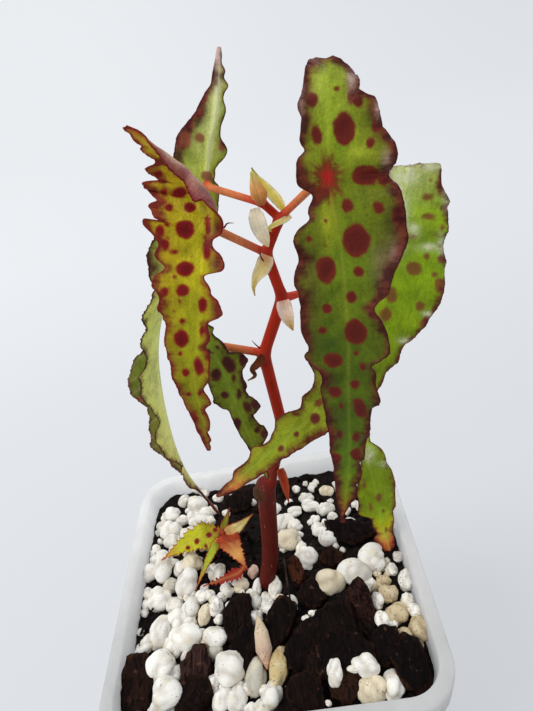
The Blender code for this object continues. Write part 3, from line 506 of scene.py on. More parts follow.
def softened(values, passes=4):
    """The values after a few passes of a quarter, a half and a quarter of three neighbours."""
    for _ in range(passes):
        padded = np.r_[values[:1], values, values[-1:]]
        values = 0.25 * padded[:-2] + 0.5 * padded[1:-1] + 0.25 * padded[2:]
    return values


# %% [markdown]
# ## How a leaf is shaped
# A begonia's blade hangs from the point where the leafstalk meets it. Its surface is given by two
# parameters: the distance along the midrib, and the way out to either margin. Each half leaves
# the midrib level and turns up through its fold angle, the margin waves, small teeth point to the
# tip, and the blade is raised a little between its side veins.
#
# Each leaf is a table. Its rib and facing are points of the midrib in millimetres and where the
# upper face looks there. Most other rows are pairs of a distance along the midrib and a value:
# left and right are half widths that count where the outline is hidden, lean and fold are angles
# in degrees, and band is the breadth of the dark margin. The seen rows are the stretches where
# the outline rules, and mid and side are colours from the midrib to the margin.

# %% The blade formula
TOOTH_LENGTH = 1.25
VEIN_SPACING = 3.4
VEIN_SLANT = 0.9
QUILT_HEIGHT = 0.16
BLADE_THICKNESS = 0.36
MIDRIB_HEIGHT = 0.42
MIDRIB_HALF_WIDTH = 0.34


def blade_frame(spec, count):
    """Points of the midrib with the direction to the right margin and the upper face's normal."""
    along, line, knots = run_line(spec["rib"], count)
    forward = unit(np.gradient(line, axis=0))
    facing = through(knots, spec["facing"], along)
    right = unit(np.cross(facing, forward))
    normal = unit(np.cross(forward, right))
    return along, line, right, normal


def saw_teeth(along, depth, seed):
    """Teeth that rise slowly and drop at once: the fraction of an uneven count, to the power 1.5."""
    count = along / TOOTH_LENGTH + 0.4 * sway(along * 0.9, seed)
    size = 0.55 + 0.45 * sway(along * 1.7, seed + 3)
    return depth * size * ((count % 1.0) ** 1.5 - 0.3)


def half_blade(spec, side, along, line, right, normal, share):
    """Points of one half, its widths, and the way out of each point in millimetres.

    Equal strides are added up from the midrib outwards; each turns up by the fold angle, which
    is reached within the bend distance. The ripple is a sine of the distance along the midrib
    times the square of the share of the way out.
    """
    number, phase = (4.0, 0.0) if side == "left" else (6.0, 2.1)
    width = table(spec[side], along)
    if "outlines" in spec:
        width = softened(seen_width(spec, side, along, line, right, normal, width))
    grown = np.clip(width / 2.0, 0.0, 1.0)
    width = np.maximum(width + grown * saw_teeth(along, spec["teeth"], number), 0.12)
    middle = share - 0.5 / len(share)
    stride = (width / len(share))[:, None, None]
    step = way_out(spec, side, along, right, normal, width[:, None] * middle)
    points = line[:, None] + np.cumsum(stride * step, axis=1)
    free = np.clip(width / 3.5, 0.0, 1.0)
    wave = spec.get("wave", 0.6) * free * np.sin(2 * np.pi * along / spec.get("pitch", 6.5) + phase)
    flutter = 0.22 * sway(along * 2.6, number + 4) * free
    lift = wave[:, None] * share**2 + flutter[:, None] * share**3
    points = points + lift[..., None] * normal[:, None]
    return points, width, width[:, None] * share


def vein_field(along, across, attach):
    """How near a point is to a vein, from 0 to 1, and how high the blade is quilted between veins.

    Side veins leave the midrib at a slant and run away from the leafstalk, so their number is
    the distance from the leafstalk less a part of the way out, over the spacing.
    """
    away = np.abs(along - attach) - VEIN_SLANT * np.abs(across)
    number = away / VEIN_SPACING
    near = np.abs(number - np.round(number)) * VEIN_SPACING
    side_veins = np.exp(-((near / 0.24) ** 2))
    midrib = np.exp(-((across / 0.30) ** 2))
    quilt = np.cos(2 * np.pi * number) * -0.5 * np.clip(np.abs(across) / 1.5, 0, 1)
    return np.maximum(0.2 * side_veins, midrib), quilt


def across_blade(left, middle, right):
    """One grid from the values of the left half, the midrib and the right half."""
    return np.concatenate([left[:, ::-1], middle, right], axis=1)


def closed_faces(rows, wide):
    """Faces of an upper sheet, of a lower one, and of the hem that joins them all round."""
    total = rows * wide
    loop = np.concatenate([np.arange(wide), np.arange(1, rows) * wide + wide - 1,
                           total - 2 - np.arange(wide - 1), np.arange(rows - 2, 0, -1) * wide])
    following = np.roll(loop, -1)
    hem = np.stack([loop, following, following + total, loop + total], axis=1)
    quads = grid_quads(rows, wide)
    return np.vstack([quads, quads[:, ::-1] + total, hem]).tolist()


def margin_fields(spec, along, widths, share):
    """Distances in mm to the margin, and to the inner side of its band: below zero within the band."""
    edges = [width[:, None] * (1 - share) for width in widths]
    bands = [table(spec["band_" + side], along)[:, None] for side in SIDES]
    rims = [edge - band for edge, band in zip(edges, bands)]
    edge = across_blade(edges[0], np.minimum(*widths)[:, None], edges[1])
    rim = across_blade(rims[0], np.minimum(rims[0][:, :1], rims[1][:, :1]), rims[1])
    ends = np.minimum(along, along[-1] - along)[:, None]
    return np.minimum(edge, ends), np.minimum(rim, ends - 0.7 * np.minimum(*bands))


def blade_surface(spec, stations, columns):
    """Upper and lower points of a blade with its faces and the values its material reads."""
    share = np.arange(1, columns + 1) / columns
    along, line, right, normal = blade_frame(spec, stations)
    halves = [half_blade(spec, side, along, line, right, normal, share) for side in SIDES]
    points, widths, ways = zip(*halves)
    sheet = across_blade(points[0], line[:, None], points[1])
    across = across_blade(-ways[0], np.zeros((stations, 1)), ways[1])
    edge, rim = margin_fields(spec, along, widths, share)
    vein, quilt = vein_field(along[:, None], across, spec["attach"])
    out = np.concatenate([share[::-1], [0.0], share])[None, :]
    up = unit(np.cross(np.gradient(sheet, axis=0), np.gradient(sheet, axis=1)))
    flesh = spec.get("thickness", BLADE_THICKNESS) * 0.5 * (1 - 0.55 * out**2)
    puff = spec.get("quilt", QUILT_HEIGHT) * quilt * (1 - out**2)
    slim = np.clip(widths[0] + widths[1], 0.2, 4.0)[:, None] / 4.0
    keel = spec.get("keel", MIDRIB_HEIGHT) * slim * np.exp(-((across / MIDRIB_HALF_WIDTH) ** 2))
    above, below = (flesh + puff)[..., None], (flesh - puff + keel)[..., None]
    points = np.concatenate([sheet + up * above, sheet - up * below]).reshape(-1, 3)
    grids = {"along": np.broadcast_to(along[:, None], across.shape), "across": across, "rim": rim,
             "edge": edge, "vein": vein, "out": np.broadcast_to(out, across.shape), "sheet": sheet}
    return points, closed_faces(stations, 2 * columns + 1), grids


def on_both_faces(grid):
    """The values of a grid for the upper points and again for the lower ones."""
    return np.concatenate([grid.reshape(-1, *grid.shape[2:])] * 2)


def run_place(grids):
    """Distance along, distance across and nothing: a place in the blade's own plane, for streaks."""
    return on_both_faces(np.stack([grids["along"], grids["across"], 0 * grids["across"]], axis=-1))


# %% [markdown]
# ## Spots, blushes and painted sheen
# The red spots sit where the photograph shows them. Each is given by the pixel of its centre and
# its half width and half height there. The nearest point of the blade to that pixel carries it,
# and the field kept on the surface is the distance to the edge of the nearest spot, below zero
# inside, so that the material can draw a soft, slightly uneven edge. Soft patches of another
# colour are laid on the ground colour the same way: blushes of tint, some of them painted shade
# and one painted sheen, and a pale painted sheen where the blade catches the light.

# %% Marks placed by pixel
FAR = 9.0


def mark_distance(sheet_px, sheet_py, sheet, depth, mark):
    """Distance in mm from each point to the rim of one mark, or FAR beyond its neighbourhood."""
    x, y, half_wide, half_high = mark[:4]
    lean = math.radians(mark[4]) if len(mark) > 4 else 0.0
    off_x = sheet_px - x
    off_y = sheet_py - y
    miss = np.hypot(off_x, off_y)
    centre = np.unravel_index(np.argmin(miss), miss.shape)
    scale = depth[centre] / FOCAL_PIXELS
    turned_x = off_x * math.cos(lean) + off_y * math.sin(lean)
    turned_y = -off_x * math.sin(lean) + off_y * math.cos(lean)
    reach = np.hypot(turned_x / half_wide, turned_y / half_high)
    distance = (reach - 1.0) * min(half_wide, half_high) * scale
    nearby = np.linalg.norm(sheet - sheet[centre], axis=-1) < 3.0 * max(half_wide, half_high) * scale + 0.5
    return np.where(nearby, distance, FAR)


def spot_field(spec, grids):
    """Distance to the edge of the nearest spot: those seen in the photo, then those drawn for the rest."""
    px, py, depth = to_photo(grids["sheet"])
    field_mm = np.full(px.shape, FAR)
    for mark in spec["spots"]:
        field_mm = np.minimum(field_mm, mark_distance(px, py, grids["sheet"], depth, mark))
    draw = np.random.default_rng(spec.get("seed", 1))
    for low, high, left, right, count in spec.get("unseen", ()):
        for _ in range(count):
            along, across = draw.uniform(low, high), draw.uniform(left, right)
            radius = draw.uniform(0.25, 0.95)
            distance = np.hypot(grids["along"] - along, (grids["across"] - across) * 1.15) - radius
            field_mm = np.minimum(field_mm, distance)
    return field_mm


def tone(rows, along):
    """A colour along the midrib, between rows of (distance, red, green, blue)."""
    rows = np.asarray(rows, float)
    colours = srgb(rows[:, 1:])
    return np.stack([np.interp(along, rows[:, 0], colours[:, k]) for k in range(3)], axis=-1)


def soft_patch(off_x, off_y, half_wide, half_high):
    """1 in the middle of a patch, fading as exp(-distance^2) with its half sizes as units."""
    return np.exp(-((off_x / half_wide) ** 2) - (off_y / half_high) ** 2)


def ground_colour(spec, grids, face):
    """The colour under the markings: one tone at the midrib, one at the margin, then soft patches, some of
    them painted shade and painted sheen.
    """
    share = grids["out"][..., None] ** 1.3
    middle, side = (tone(spec[face + part], grids["along"]) for part in ("_mid", "_side"))
    colour = (1 - share) * middle + share * side
    px, py, _ = to_photo(grids["sheet"])
    for x, y, half_wide, half_high, patch, strength in spec.get(face + "_patches", ()):
        mask = strength * soft_patch(px - x, py - y, half_wide, half_high)
        colour = colour + mask[..., None] * (srgb(patch) - colour)
    return colour


def painted_sheen_field(spec, grids):
    """How much painted sheen lies on each point: the strongest of the soft patches there."""
    px, py, _ = to_photo(grids["sheet"])
    bloom = np.zeros(px.shape)
    for x, y, half_wide, half_high, strength in spec.get("bloom", ()):
        bloom = np.maximum(bloom, strength * soft_patch(px - x, py - y, half_wide, half_high))
    return bloom


def star_field(spec, grids):
    """The red star over the leafstalk: 1 at its middle, fading along thin, uneven rays."""
    off = grids["along"] - spec["attach"]
    angle = np.arctan2(grids["across"], off)
    ray = np.clip(0.6 * sway(angle * 5.0, 2) + 0.35 * sway(angle * 17.0, 4), -0.5, 0.9)
    distance = np.hypot(np.where(off > 0, off * 0.55, off * 0.75), grids["across"])
    return np.clip(1 - distance / (spec.get("star", 1.2) * (1.2 + 0.8 * ray)), 0, 1)


# %% [markdown]
# ## The leaf's colours
# All leaves share one set of markings, so it is one node group: ground colour, fine mottling,
# pale veins, spots, the dark margin, a pale painted sheen and the star over the leafstalk. Each
# leaf gives it its own colours. The underside is paler, and the spots only show through there.

# %% The markings group
MARKING_COLOURS = ("Spot", "Core", "Margin", "Edge", "Vein", "Star", "Bloom")
MARKING_AMOUNTS = ("Vein share", "Faint", "Softness")
MARKING_FIELDS = ("rim", "edge", "vein", "spot", "star", "bloom")
SKIN_CELL = 0.32


def marking_noises(tree):
    """The four noises of a leaf: fine, coarse, blotches, and streaks that run along the blade."""
    place = object_place(tree)
    run = stretched_place(tree, field(tree, "run", "Vector"), (0.0004, 0.0013, 1.0))
    fine, coarse = noise(tree, place, 0.3, 4.0), noise(tree, place, 1.5, 3.0)
    return fine, coarse, noise(tree, place, 4.2, 3.0, 0.5), noise(tree, run, 0.8, 4.0, 0.6)


def paint_spots(tree, given, colour, blotch, uneven, faded):
    """Spots with a soft, uneven edge and a darker core; on the underside they only show through."""
    distance = compute(tree, "ADD", field(tree, "spot"), uneven)
    mask = soft_step(tree, distance, given["Softness"], compute(tree, "MULTIPLY", given["Softness"], -0.9))
    mask = compute(tree, "MULTIPLY", mask, compute(tree, "SUBTRACT", 1.0, faded))
    core = soft_step(tree, compute(tree, "MULTIPLY_ADD", blotch, 0.8, distance), 0.7, -0.6)
    return blend_colours(tree, mask, colour, blend_colours(tree, core, given["Spot"], given["Core"]))


def paint_margin(tree, given, colour, coarse, blotch, uneven, faded):
    """A ragged band with a soft inner side, then a thin line along the very edge."""
    ragged = compute(tree, "MULTIPLY_ADD", coarse, 2.4, compute(tree, "MULTIPLY_ADD", blotch, 2.4, -2.2))
    band = soft_step(tree, compute(tree, "ADD", field(tree, "rim"), ragged), 0.75, -0.8)
    band = compute(tree, "MULTIPLY", band, compute(tree, "MULTIPLY_ADD", faded, -0.5, 0.95))
    band_tone = blend_colours(tree, soft_step(tree, coarse, 0.64, 0.4), given["Margin"], given["Edge"])
    colour = blend_colours(tree, band, colour, band_tone)
    edge = compute(tree, "ADD", field(tree, "edge"), compute(tree, "MULTIPLY", uneven, 0.4))
    line = compute(tree, "MULTIPLY", soft_step(tree, edge, 0.34, 0.1), 0.85)
    return blend_colours(tree, line, colour, given["Edge"])


def paint_sheen(tree, given, colour, fine, coarse):
    """The painted sheen: a pale colour in soft patches, mottled."""
    mottled = compute(tree, "MULTIPLY_ADD", coarse, 2.6, compute(tree, "MULTIPLY_ADD", fine, 1.8, -1.4))
    bloom = compute(tree, "MULTIPLY", field(tree, "bloom"), mottled)
    bloom = compute(tree, "MAXIMUM", compute(tree, "MINIMUM", bloom, 1.0), 0.0)
    return blend_colours(tree, bloom, colour, given["Bloom"])


def paint_star(tree, given, colour, uneven):
    """The star over the leafstalk: a halo in the colour of the spots round a bright middle."""
    star = field(tree, "star")
    halo = soft_step(tree, compute(tree, "MULTIPLY_ADD", uneven, 0.5, star), 0.0, 0.6)
    colour = blend_colours(tree, compute(tree, "MULTIPLY", halo, 0.92), colour, given["Spot"])
    return blend_colours(tree, soft_step(tree, star, 0.5, 1.0), colour, given["Star"])


def leaf_relief(tree, fine, streaks):
    """Height of the skin: small cells, grain and lengthwise streaks, sunken along the veins."""
    skin = cells(tree, object_place(tree), 1000.0 / SKIN_CELL)
    height = compute(tree, "MULTIPLY_ADD", skin, -0.35, compute(tree, "MULTIPLY", fine, 0.5))
    height = compute(tree, "ADD", height, compute(tree, "MULTIPLY", field(tree, "vein"), -0.6))
    return compute(tree, "MULTIPLY_ADD", streaks, 0.5, height)


def add_sockets(group, names, direction, kind):
    """Sockets of one kind on a node group."""
    for name in names:
        group.interface.new_socket(name, in_out=direction, socket_type=kind)


def make_markings():
    """The node group: a leaf's own colours and fields in, colour, roughness and height out."""
    group = bpy.data.node_groups.new("leaf_markings", "ShaderNodeTree")
    add_sockets(group, MARKING_COLOURS, "INPUT", "NodeSocketColor")
    add_sockets(group, MARKING_AMOUNTS, "INPUT", "NodeSocketFloat")
    add_sockets(group, ["Colour"], "OUTPUT", "NodeSocketColor")
    add_sockets(group, ["Roughness", "Height"], "OUTPUT", "NodeSocketFloat")
    given = group.nodes.new("NodeGroupInput").outputs
    fine, coarse, blotch, streaks = marking_noises(group)
    shade = compute(group, "MULTIPLY_ADD", fine, 0.75, compute(group, "MULTIPLY_ADD", blotch, 1.0, -0.24))
    shade = compute(group, "MULTIPLY_ADD", streaks, 0.75, shade)
    colour = shaded_ground(group, shade)
    vein_mask = compute(group, "MULTIPLY", field(group, "vein"), given["Vein share"])
    colour = blend_colours(group, vein_mask, colour, given["Vein"])
    uneven = compute(group, "MULTIPLY_ADD", coarse, 0.8, -0.4)
    faded = compute(group, "MULTIPLY", field(group, "under"), given["Faint"])
    colour = paint_spots(group, given, colour, blotch, uneven, faded)
    colour = paint_margin(group, given, colour, coarse, blotch, uneven, faded)
    # Painted sheen: pale patches laid over the markings where the blade catches the light.
    colour = paint_sheen(group, given, colour, fine, coarse)
    colour = paint_star(group, given, colour, uneven)
    rough = compute(group, "MULTIPLY_ADD", coarse, 0.16, 0.36)
    results = {"Colour": colour, "Roughness": rough, "Height": leaf_relief(group, fine, streaks)}
    fill(group, group.nodes.new("NodeGroupOutput"), results)
    return group


MARKINGS = make_markings()


def leaf_material(name, spec):
    """The finish of one leaf: its markings on a satin surface that lets some light through."""
    material, tree, shader = new_material(name)
    inputs = {key: srgb(spec["colours"][key]) for key in MARKING_COLOURS}
    inputs["Vein share"] = spec.get("vein_share", 0.35)
    inputs["Faint"] = spec.get("faint", 0.45)
    inputs["Softness"] = spec.get("softness", 0.26)
    marks = add_node(tree, "ShaderNodeGroup", inputs, node_tree=MARKINGS).outputs
    finish(tree, shader, marks["Colour"], marks["Roughness"], 0.13, marks["Height"], 0.8, 0.00016)
    let_light_through(tree, shader, marks["Colour"], spec.get("glow", 0.28))
    return material


def make_leaf(name, spec, slot, stations, columns):
    """One leaf as a piece: its blade with the fields that the markings read, and its own material."""
    points, faces, grids = blade_surface(spec, stations, columns)
    grids["spot"] = spot_field(spec, grids)
    grids["star"] = star_field(spec, grids)
    grids["bloom"] = painted_sheen_field(spec, grids)
    fields = {key: on_both_faces(grids[key]) for key in MARKING_FIELDS}
    count = len(points) // 2
    fields["star"][count:] = 0.0
    fields["under"] = np.repeat([0.0, 1.0], count)
    fields["run"] = run_place(grids)
    grounds = [ground_colour(spec, grids, face).reshape(-1, 3) for face in ("upper", "lower")]
    fields["ground"] = np.concatenate(grounds)
    add_piece(name, points, faces, leaf_material(name + "_blade", spec), slot, name, fields)


# %% [markdown]
# ## The large leaf at the front
# It hangs with its upper face to the viewer: green, with large dark red spots, a broad maroon
# margin and the bright star where the leafstalk joins behind.

# %% Right front leaf
RIGHT_FRONT = {
    "rib": [(25.1, -8.3, 182.0), (24.5, -11.2, 180), (23.6, -14, 175), (23, -14.5, 170),
            (23.3, -17, 162.7), (23, -19, 155.3), (22.4, -20, 147.5), (21.7, -20, 139.9),
            (21, -18, 127.5), (18.4, -14, 107.4)],
    "facing": [(0, -0.5, 0.9), (0, -0.9, 0.5), (0, -1, 0.2), (0, -1, 0.2), (0, -1, 0.2), (0, -1, 0.2),
               (0, -1, 0.1), (0, -1, 0), (0, -1, -0.1), (0, -1, -0.1)],
    "left": [(0, 0.4), (71.5, 1.2), (80.3, 0.3)], "right": [(0, 0.5), (75.5, 1.2), (80.3, 0.3)],
    "attach": 14.4, "teeth": 0.05, "star": 2.0, "seed": 11, "softness": 0.22, "wave": 0.8,
    "seen_left": [(0.0, 90.0)], "seen_right": [(0.0, 90.0)],
    "outlines": [[
        (328, 58.5), (332, 57.3), (336, 58), (341, 60.5), (347, 62.5), (351, 64), (355, 67), (358, 71),
        (360, 75.5), (360, 80), (359.5, 86), (358, 92), (358.5, 95.5), (369, 97), (374, 99), (380, 112),
        (382, 118), (384, 126), (388, 130), (391, 137), (395, 142), (396.5, 149), (396, 156), (394, 163),
        (391.5, 169.5), (389.5, 173), (391, 178), (395, 182), (398, 186), (400, 192), (408, 220),
        (407.5, 226), (409, 232), (409.5, 238), (408, 243), (404, 249), (401, 254), (399, 260),
        (396, 267), (394, 273), (393.5, 280), (392, 286), (391, 291), (389, 296), (379, 301), (375, 304),
        (372.5, 308), (374, 311), (382, 321), (384, 326), (387, 331), (389, 338), (390, 345),
        (389.5, 351), (386, 355), (380, 358), (374, 361.5), (370.5, 364), (371.5, 368), (375, 372),
        (377.5, 377), (377, 381), (375.5, 386), (379, 396), (379.5, 402), (378, 406), (374, 411),
        (371, 416), (370, 421), (369, 428), (365, 430), (367, 432), (370, 432), (370.5, 437), (365, 447),
        (364, 453), (363.5, 457), (362, 461), (359.5, 464), (361, 468), (362, 473), (358, 481),
        (356, 484), (357, 487), (357.5, 492), (356, 497), (352, 500), (350, 504), (349, 508), (345, 513),
        (343, 518), (341.5, 522), (340.5, 519), (340, 513), (337, 501), (336, 494), (335, 482),
        (334, 474), (334, 470), (333.5, 464), (332, 459), (330.5, 455), (330.5, 448), (329, 442),
        (329.5, 436), (328, 430), (326, 424), (325, 410), (323, 404), (322, 398), (321, 391), (321, 384),
        (322, 376), (320, 371), (316, 368), (311, 365.5), (307, 363), (304, 360), (306, 356),
        (309.5, 353), (309, 348), (305, 338), (302, 333), (300.5, 329), (301, 322), (300.5, 315),
        (301.5, 308), (299.5, 302), (299, 296), (298.5, 291), (294, 285), (293.5, 280), (295, 273),
        (297, 267), (299.5, 263), (299, 258), (297, 252), (294.5, 246), (293, 241), (295, 234),
        (298, 229), (302, 226), (307, 224.5), (310, 221), (310.5, 217), (308, 213), (308.5, 208),
        (313.5, 198), (313, 194), (309, 191.5), (304, 190), (299, 187.5), (296.5, 184), (296, 176),
        (296.5, 168), (296, 162), (299, 158), (303, 155), (307, 153.5), (305.5, 150), (302, 145.5),
        (299.5, 141), (300, 136), (301, 130), (300.5, 125), (302, 120), (300.5, 115.5), (298, 111),
        (297.5, 105), (298.5, 100), (300.5, 95), (302, 90), (303, 84), (304, 77), (305.5, 71), (308, 65),
        (310, 61.5), (315, 59), (321, 58),
    ]],
    "lean_left": [(0, 18), (4, 0)], "lean_right": [(0, 22), (4, 0)],
    "band_left": [(0, 1.6), (3, 1.6), (8, 1.3), (12, 1.1), (13.5, 1.6), (14.5, 2.6), (16.3, 2.6),
                  (18, 0.9), (21, 0.9), (24, 1.4), (30, 1.4), (33, 1.1), (50, 1.1), (66, 1.1), (80, 1.0)],
    "band_right": [(0, 1.6), (4, 1.0), (9, 1.4), (14, 1.7), (18, 1.3), (23, 1.5), (27, 2.2), (31, 2.0),
                   (36, 0.9), (50, 1.0), (66, 1.1), (80, 1.0)],
    "spots": [(344, 128, 11, 17), (312, 99.5, 5.5, 7), (336.5, 90, 2.5, 2.5), (316, 134, 6, 11, -15),
              (351, 95, 3.5, 9), (358, 101, 5, 6), (370.5, 142.5, 4, 5), (366, 175.5, 14, 11),
              (347.5, 206, 6, 7), (378.5, 207, 6.5, 6), (356, 240.5, 14, 16.5), (325.5, 269, 10.5, 14),
              (359, 272, 4.8, 5), (351, 296.5, 5.2, 6), (327, 308, 5, 5), (325.5, 221, 2, 2),
              (325.5, 246, 2, 2), (309.5, 239, 2.5, 3), (355.5, 331, 11, 13, -20), (322, 330, 4.5, 4),
              (333, 360, 10, 8), (356, 352.5, 2, 2), (354.5, 384, 5, 5), (334.5, 391, 7, 6),
              (363, 367, 3, 4), (360, 408, 6, 10, -25), (341, 405.5, 2, 2), (340, 434, 3, 4),
              (356, 436, 4, 5), (336, 458, 5, 6), (356, 453, 6, 6), (376, 127, 5, 8), (384, 178, 7, 8),
              (398, 216, 6, 9)],
    # Painted sheen: pale mauve patches where the waved margin catches the light.
    "bloom": [(351, 80, 4, 9, 1.0), (378, 108, 3, 10, 0.8), (386, 160, 5, 9, 0.5),
              (380, 268, 10, 20, 0.1), (301, 92, 3, 26, 0.4), (393, 252, 6, 12, 0.2)],
    "upper_mid": [(0, 150, 168, 44), (8, 154, 176, 42), (14, 126, 140, 26), (24, 110, 132, 24),
                  (36, 90, 112, 20), (46, 80, 104, 16), (53, 90, 122, 17), (58, 90, 126, 17),
                  (62, 104, 138, 18), (70, 134, 146, 20), (72.5, 164, 136, 24), (75, 200, 100, 30),
                  (78, 210, 74, 34)],
    "upper_side": [(0, 128, 122, 40), (10, 116, 116, 28), (24, 96, 102, 22), (40, 78, 86, 20),
                   (60, 92, 94, 20), (68, 122, 96, 24), (74, 180, 62, 34), (78, 204, 60, 36)],
    "lower_mid": [(0, 160, 175, 95), (80, 140, 130, 70)],
    "lower_side": [(0, 140, 120, 80), (40, 130, 95, 75), (80, 130, 80, 60)],
    # The patch at pixel (384, 262) is painted sheen on the right margin; the others are tints of the leaf.
    "upper_patches": [(328, 215, 8, 34, (168, 172, 40), 0.65), (352, 205, 20, 22, (84, 100, 16), 0.4),
                      (318, 85, 8, 20, (176, 190, 84), 0.4), (338, 150, 7, 16, (96, 132, 20), 0.5),
                      (357, 152, 16, 5, (168, 180, 50), 0.5), (370, 116, 8, 10, (60, 84, 24), 0.6),
                      (340, 260, 16, 16, (86, 110, 18), 0.4), (346, 312, 10, 14, (130, 144, 30), 0.4),
                      (312, 290, 6, 40, (96, 66, 40), 0.45), (392, 225, 9, 26, (74, 62, 30), 0.6),
                      (330, 345, 12, 16, (52, 84, 22), 0.5), (380, 130, 7, 12, (72, 66, 30), 0.5),
                      (384, 262, 10, 20, (112, 76, 60), 0.55), (312, 100, 5, 12, (104, 70, 40), 0.4)],
    "vein_share": 0.16,
    "colours": {"Spot": (118, 42, 26), "Core": (98, 30, 24), "Margin": (118, 46, 38),
                "Edge": (78, 24, 24), "Vein": (186, 186, 70), "Star": (190, 30, 34),
                "Bloom": (190, 160, 152)},
}
make_leaf("leaf_right_front", RIGHT_FRONT, "leaf_upper", 410, 24)

# %% [markdown]
# ## The yellow-green leaf on the left
# Its right half is folded right over near the top, so that the pink underside shows as a flap
# above the blade. Deep teeth run down its left margin, and the spots are a clear red.

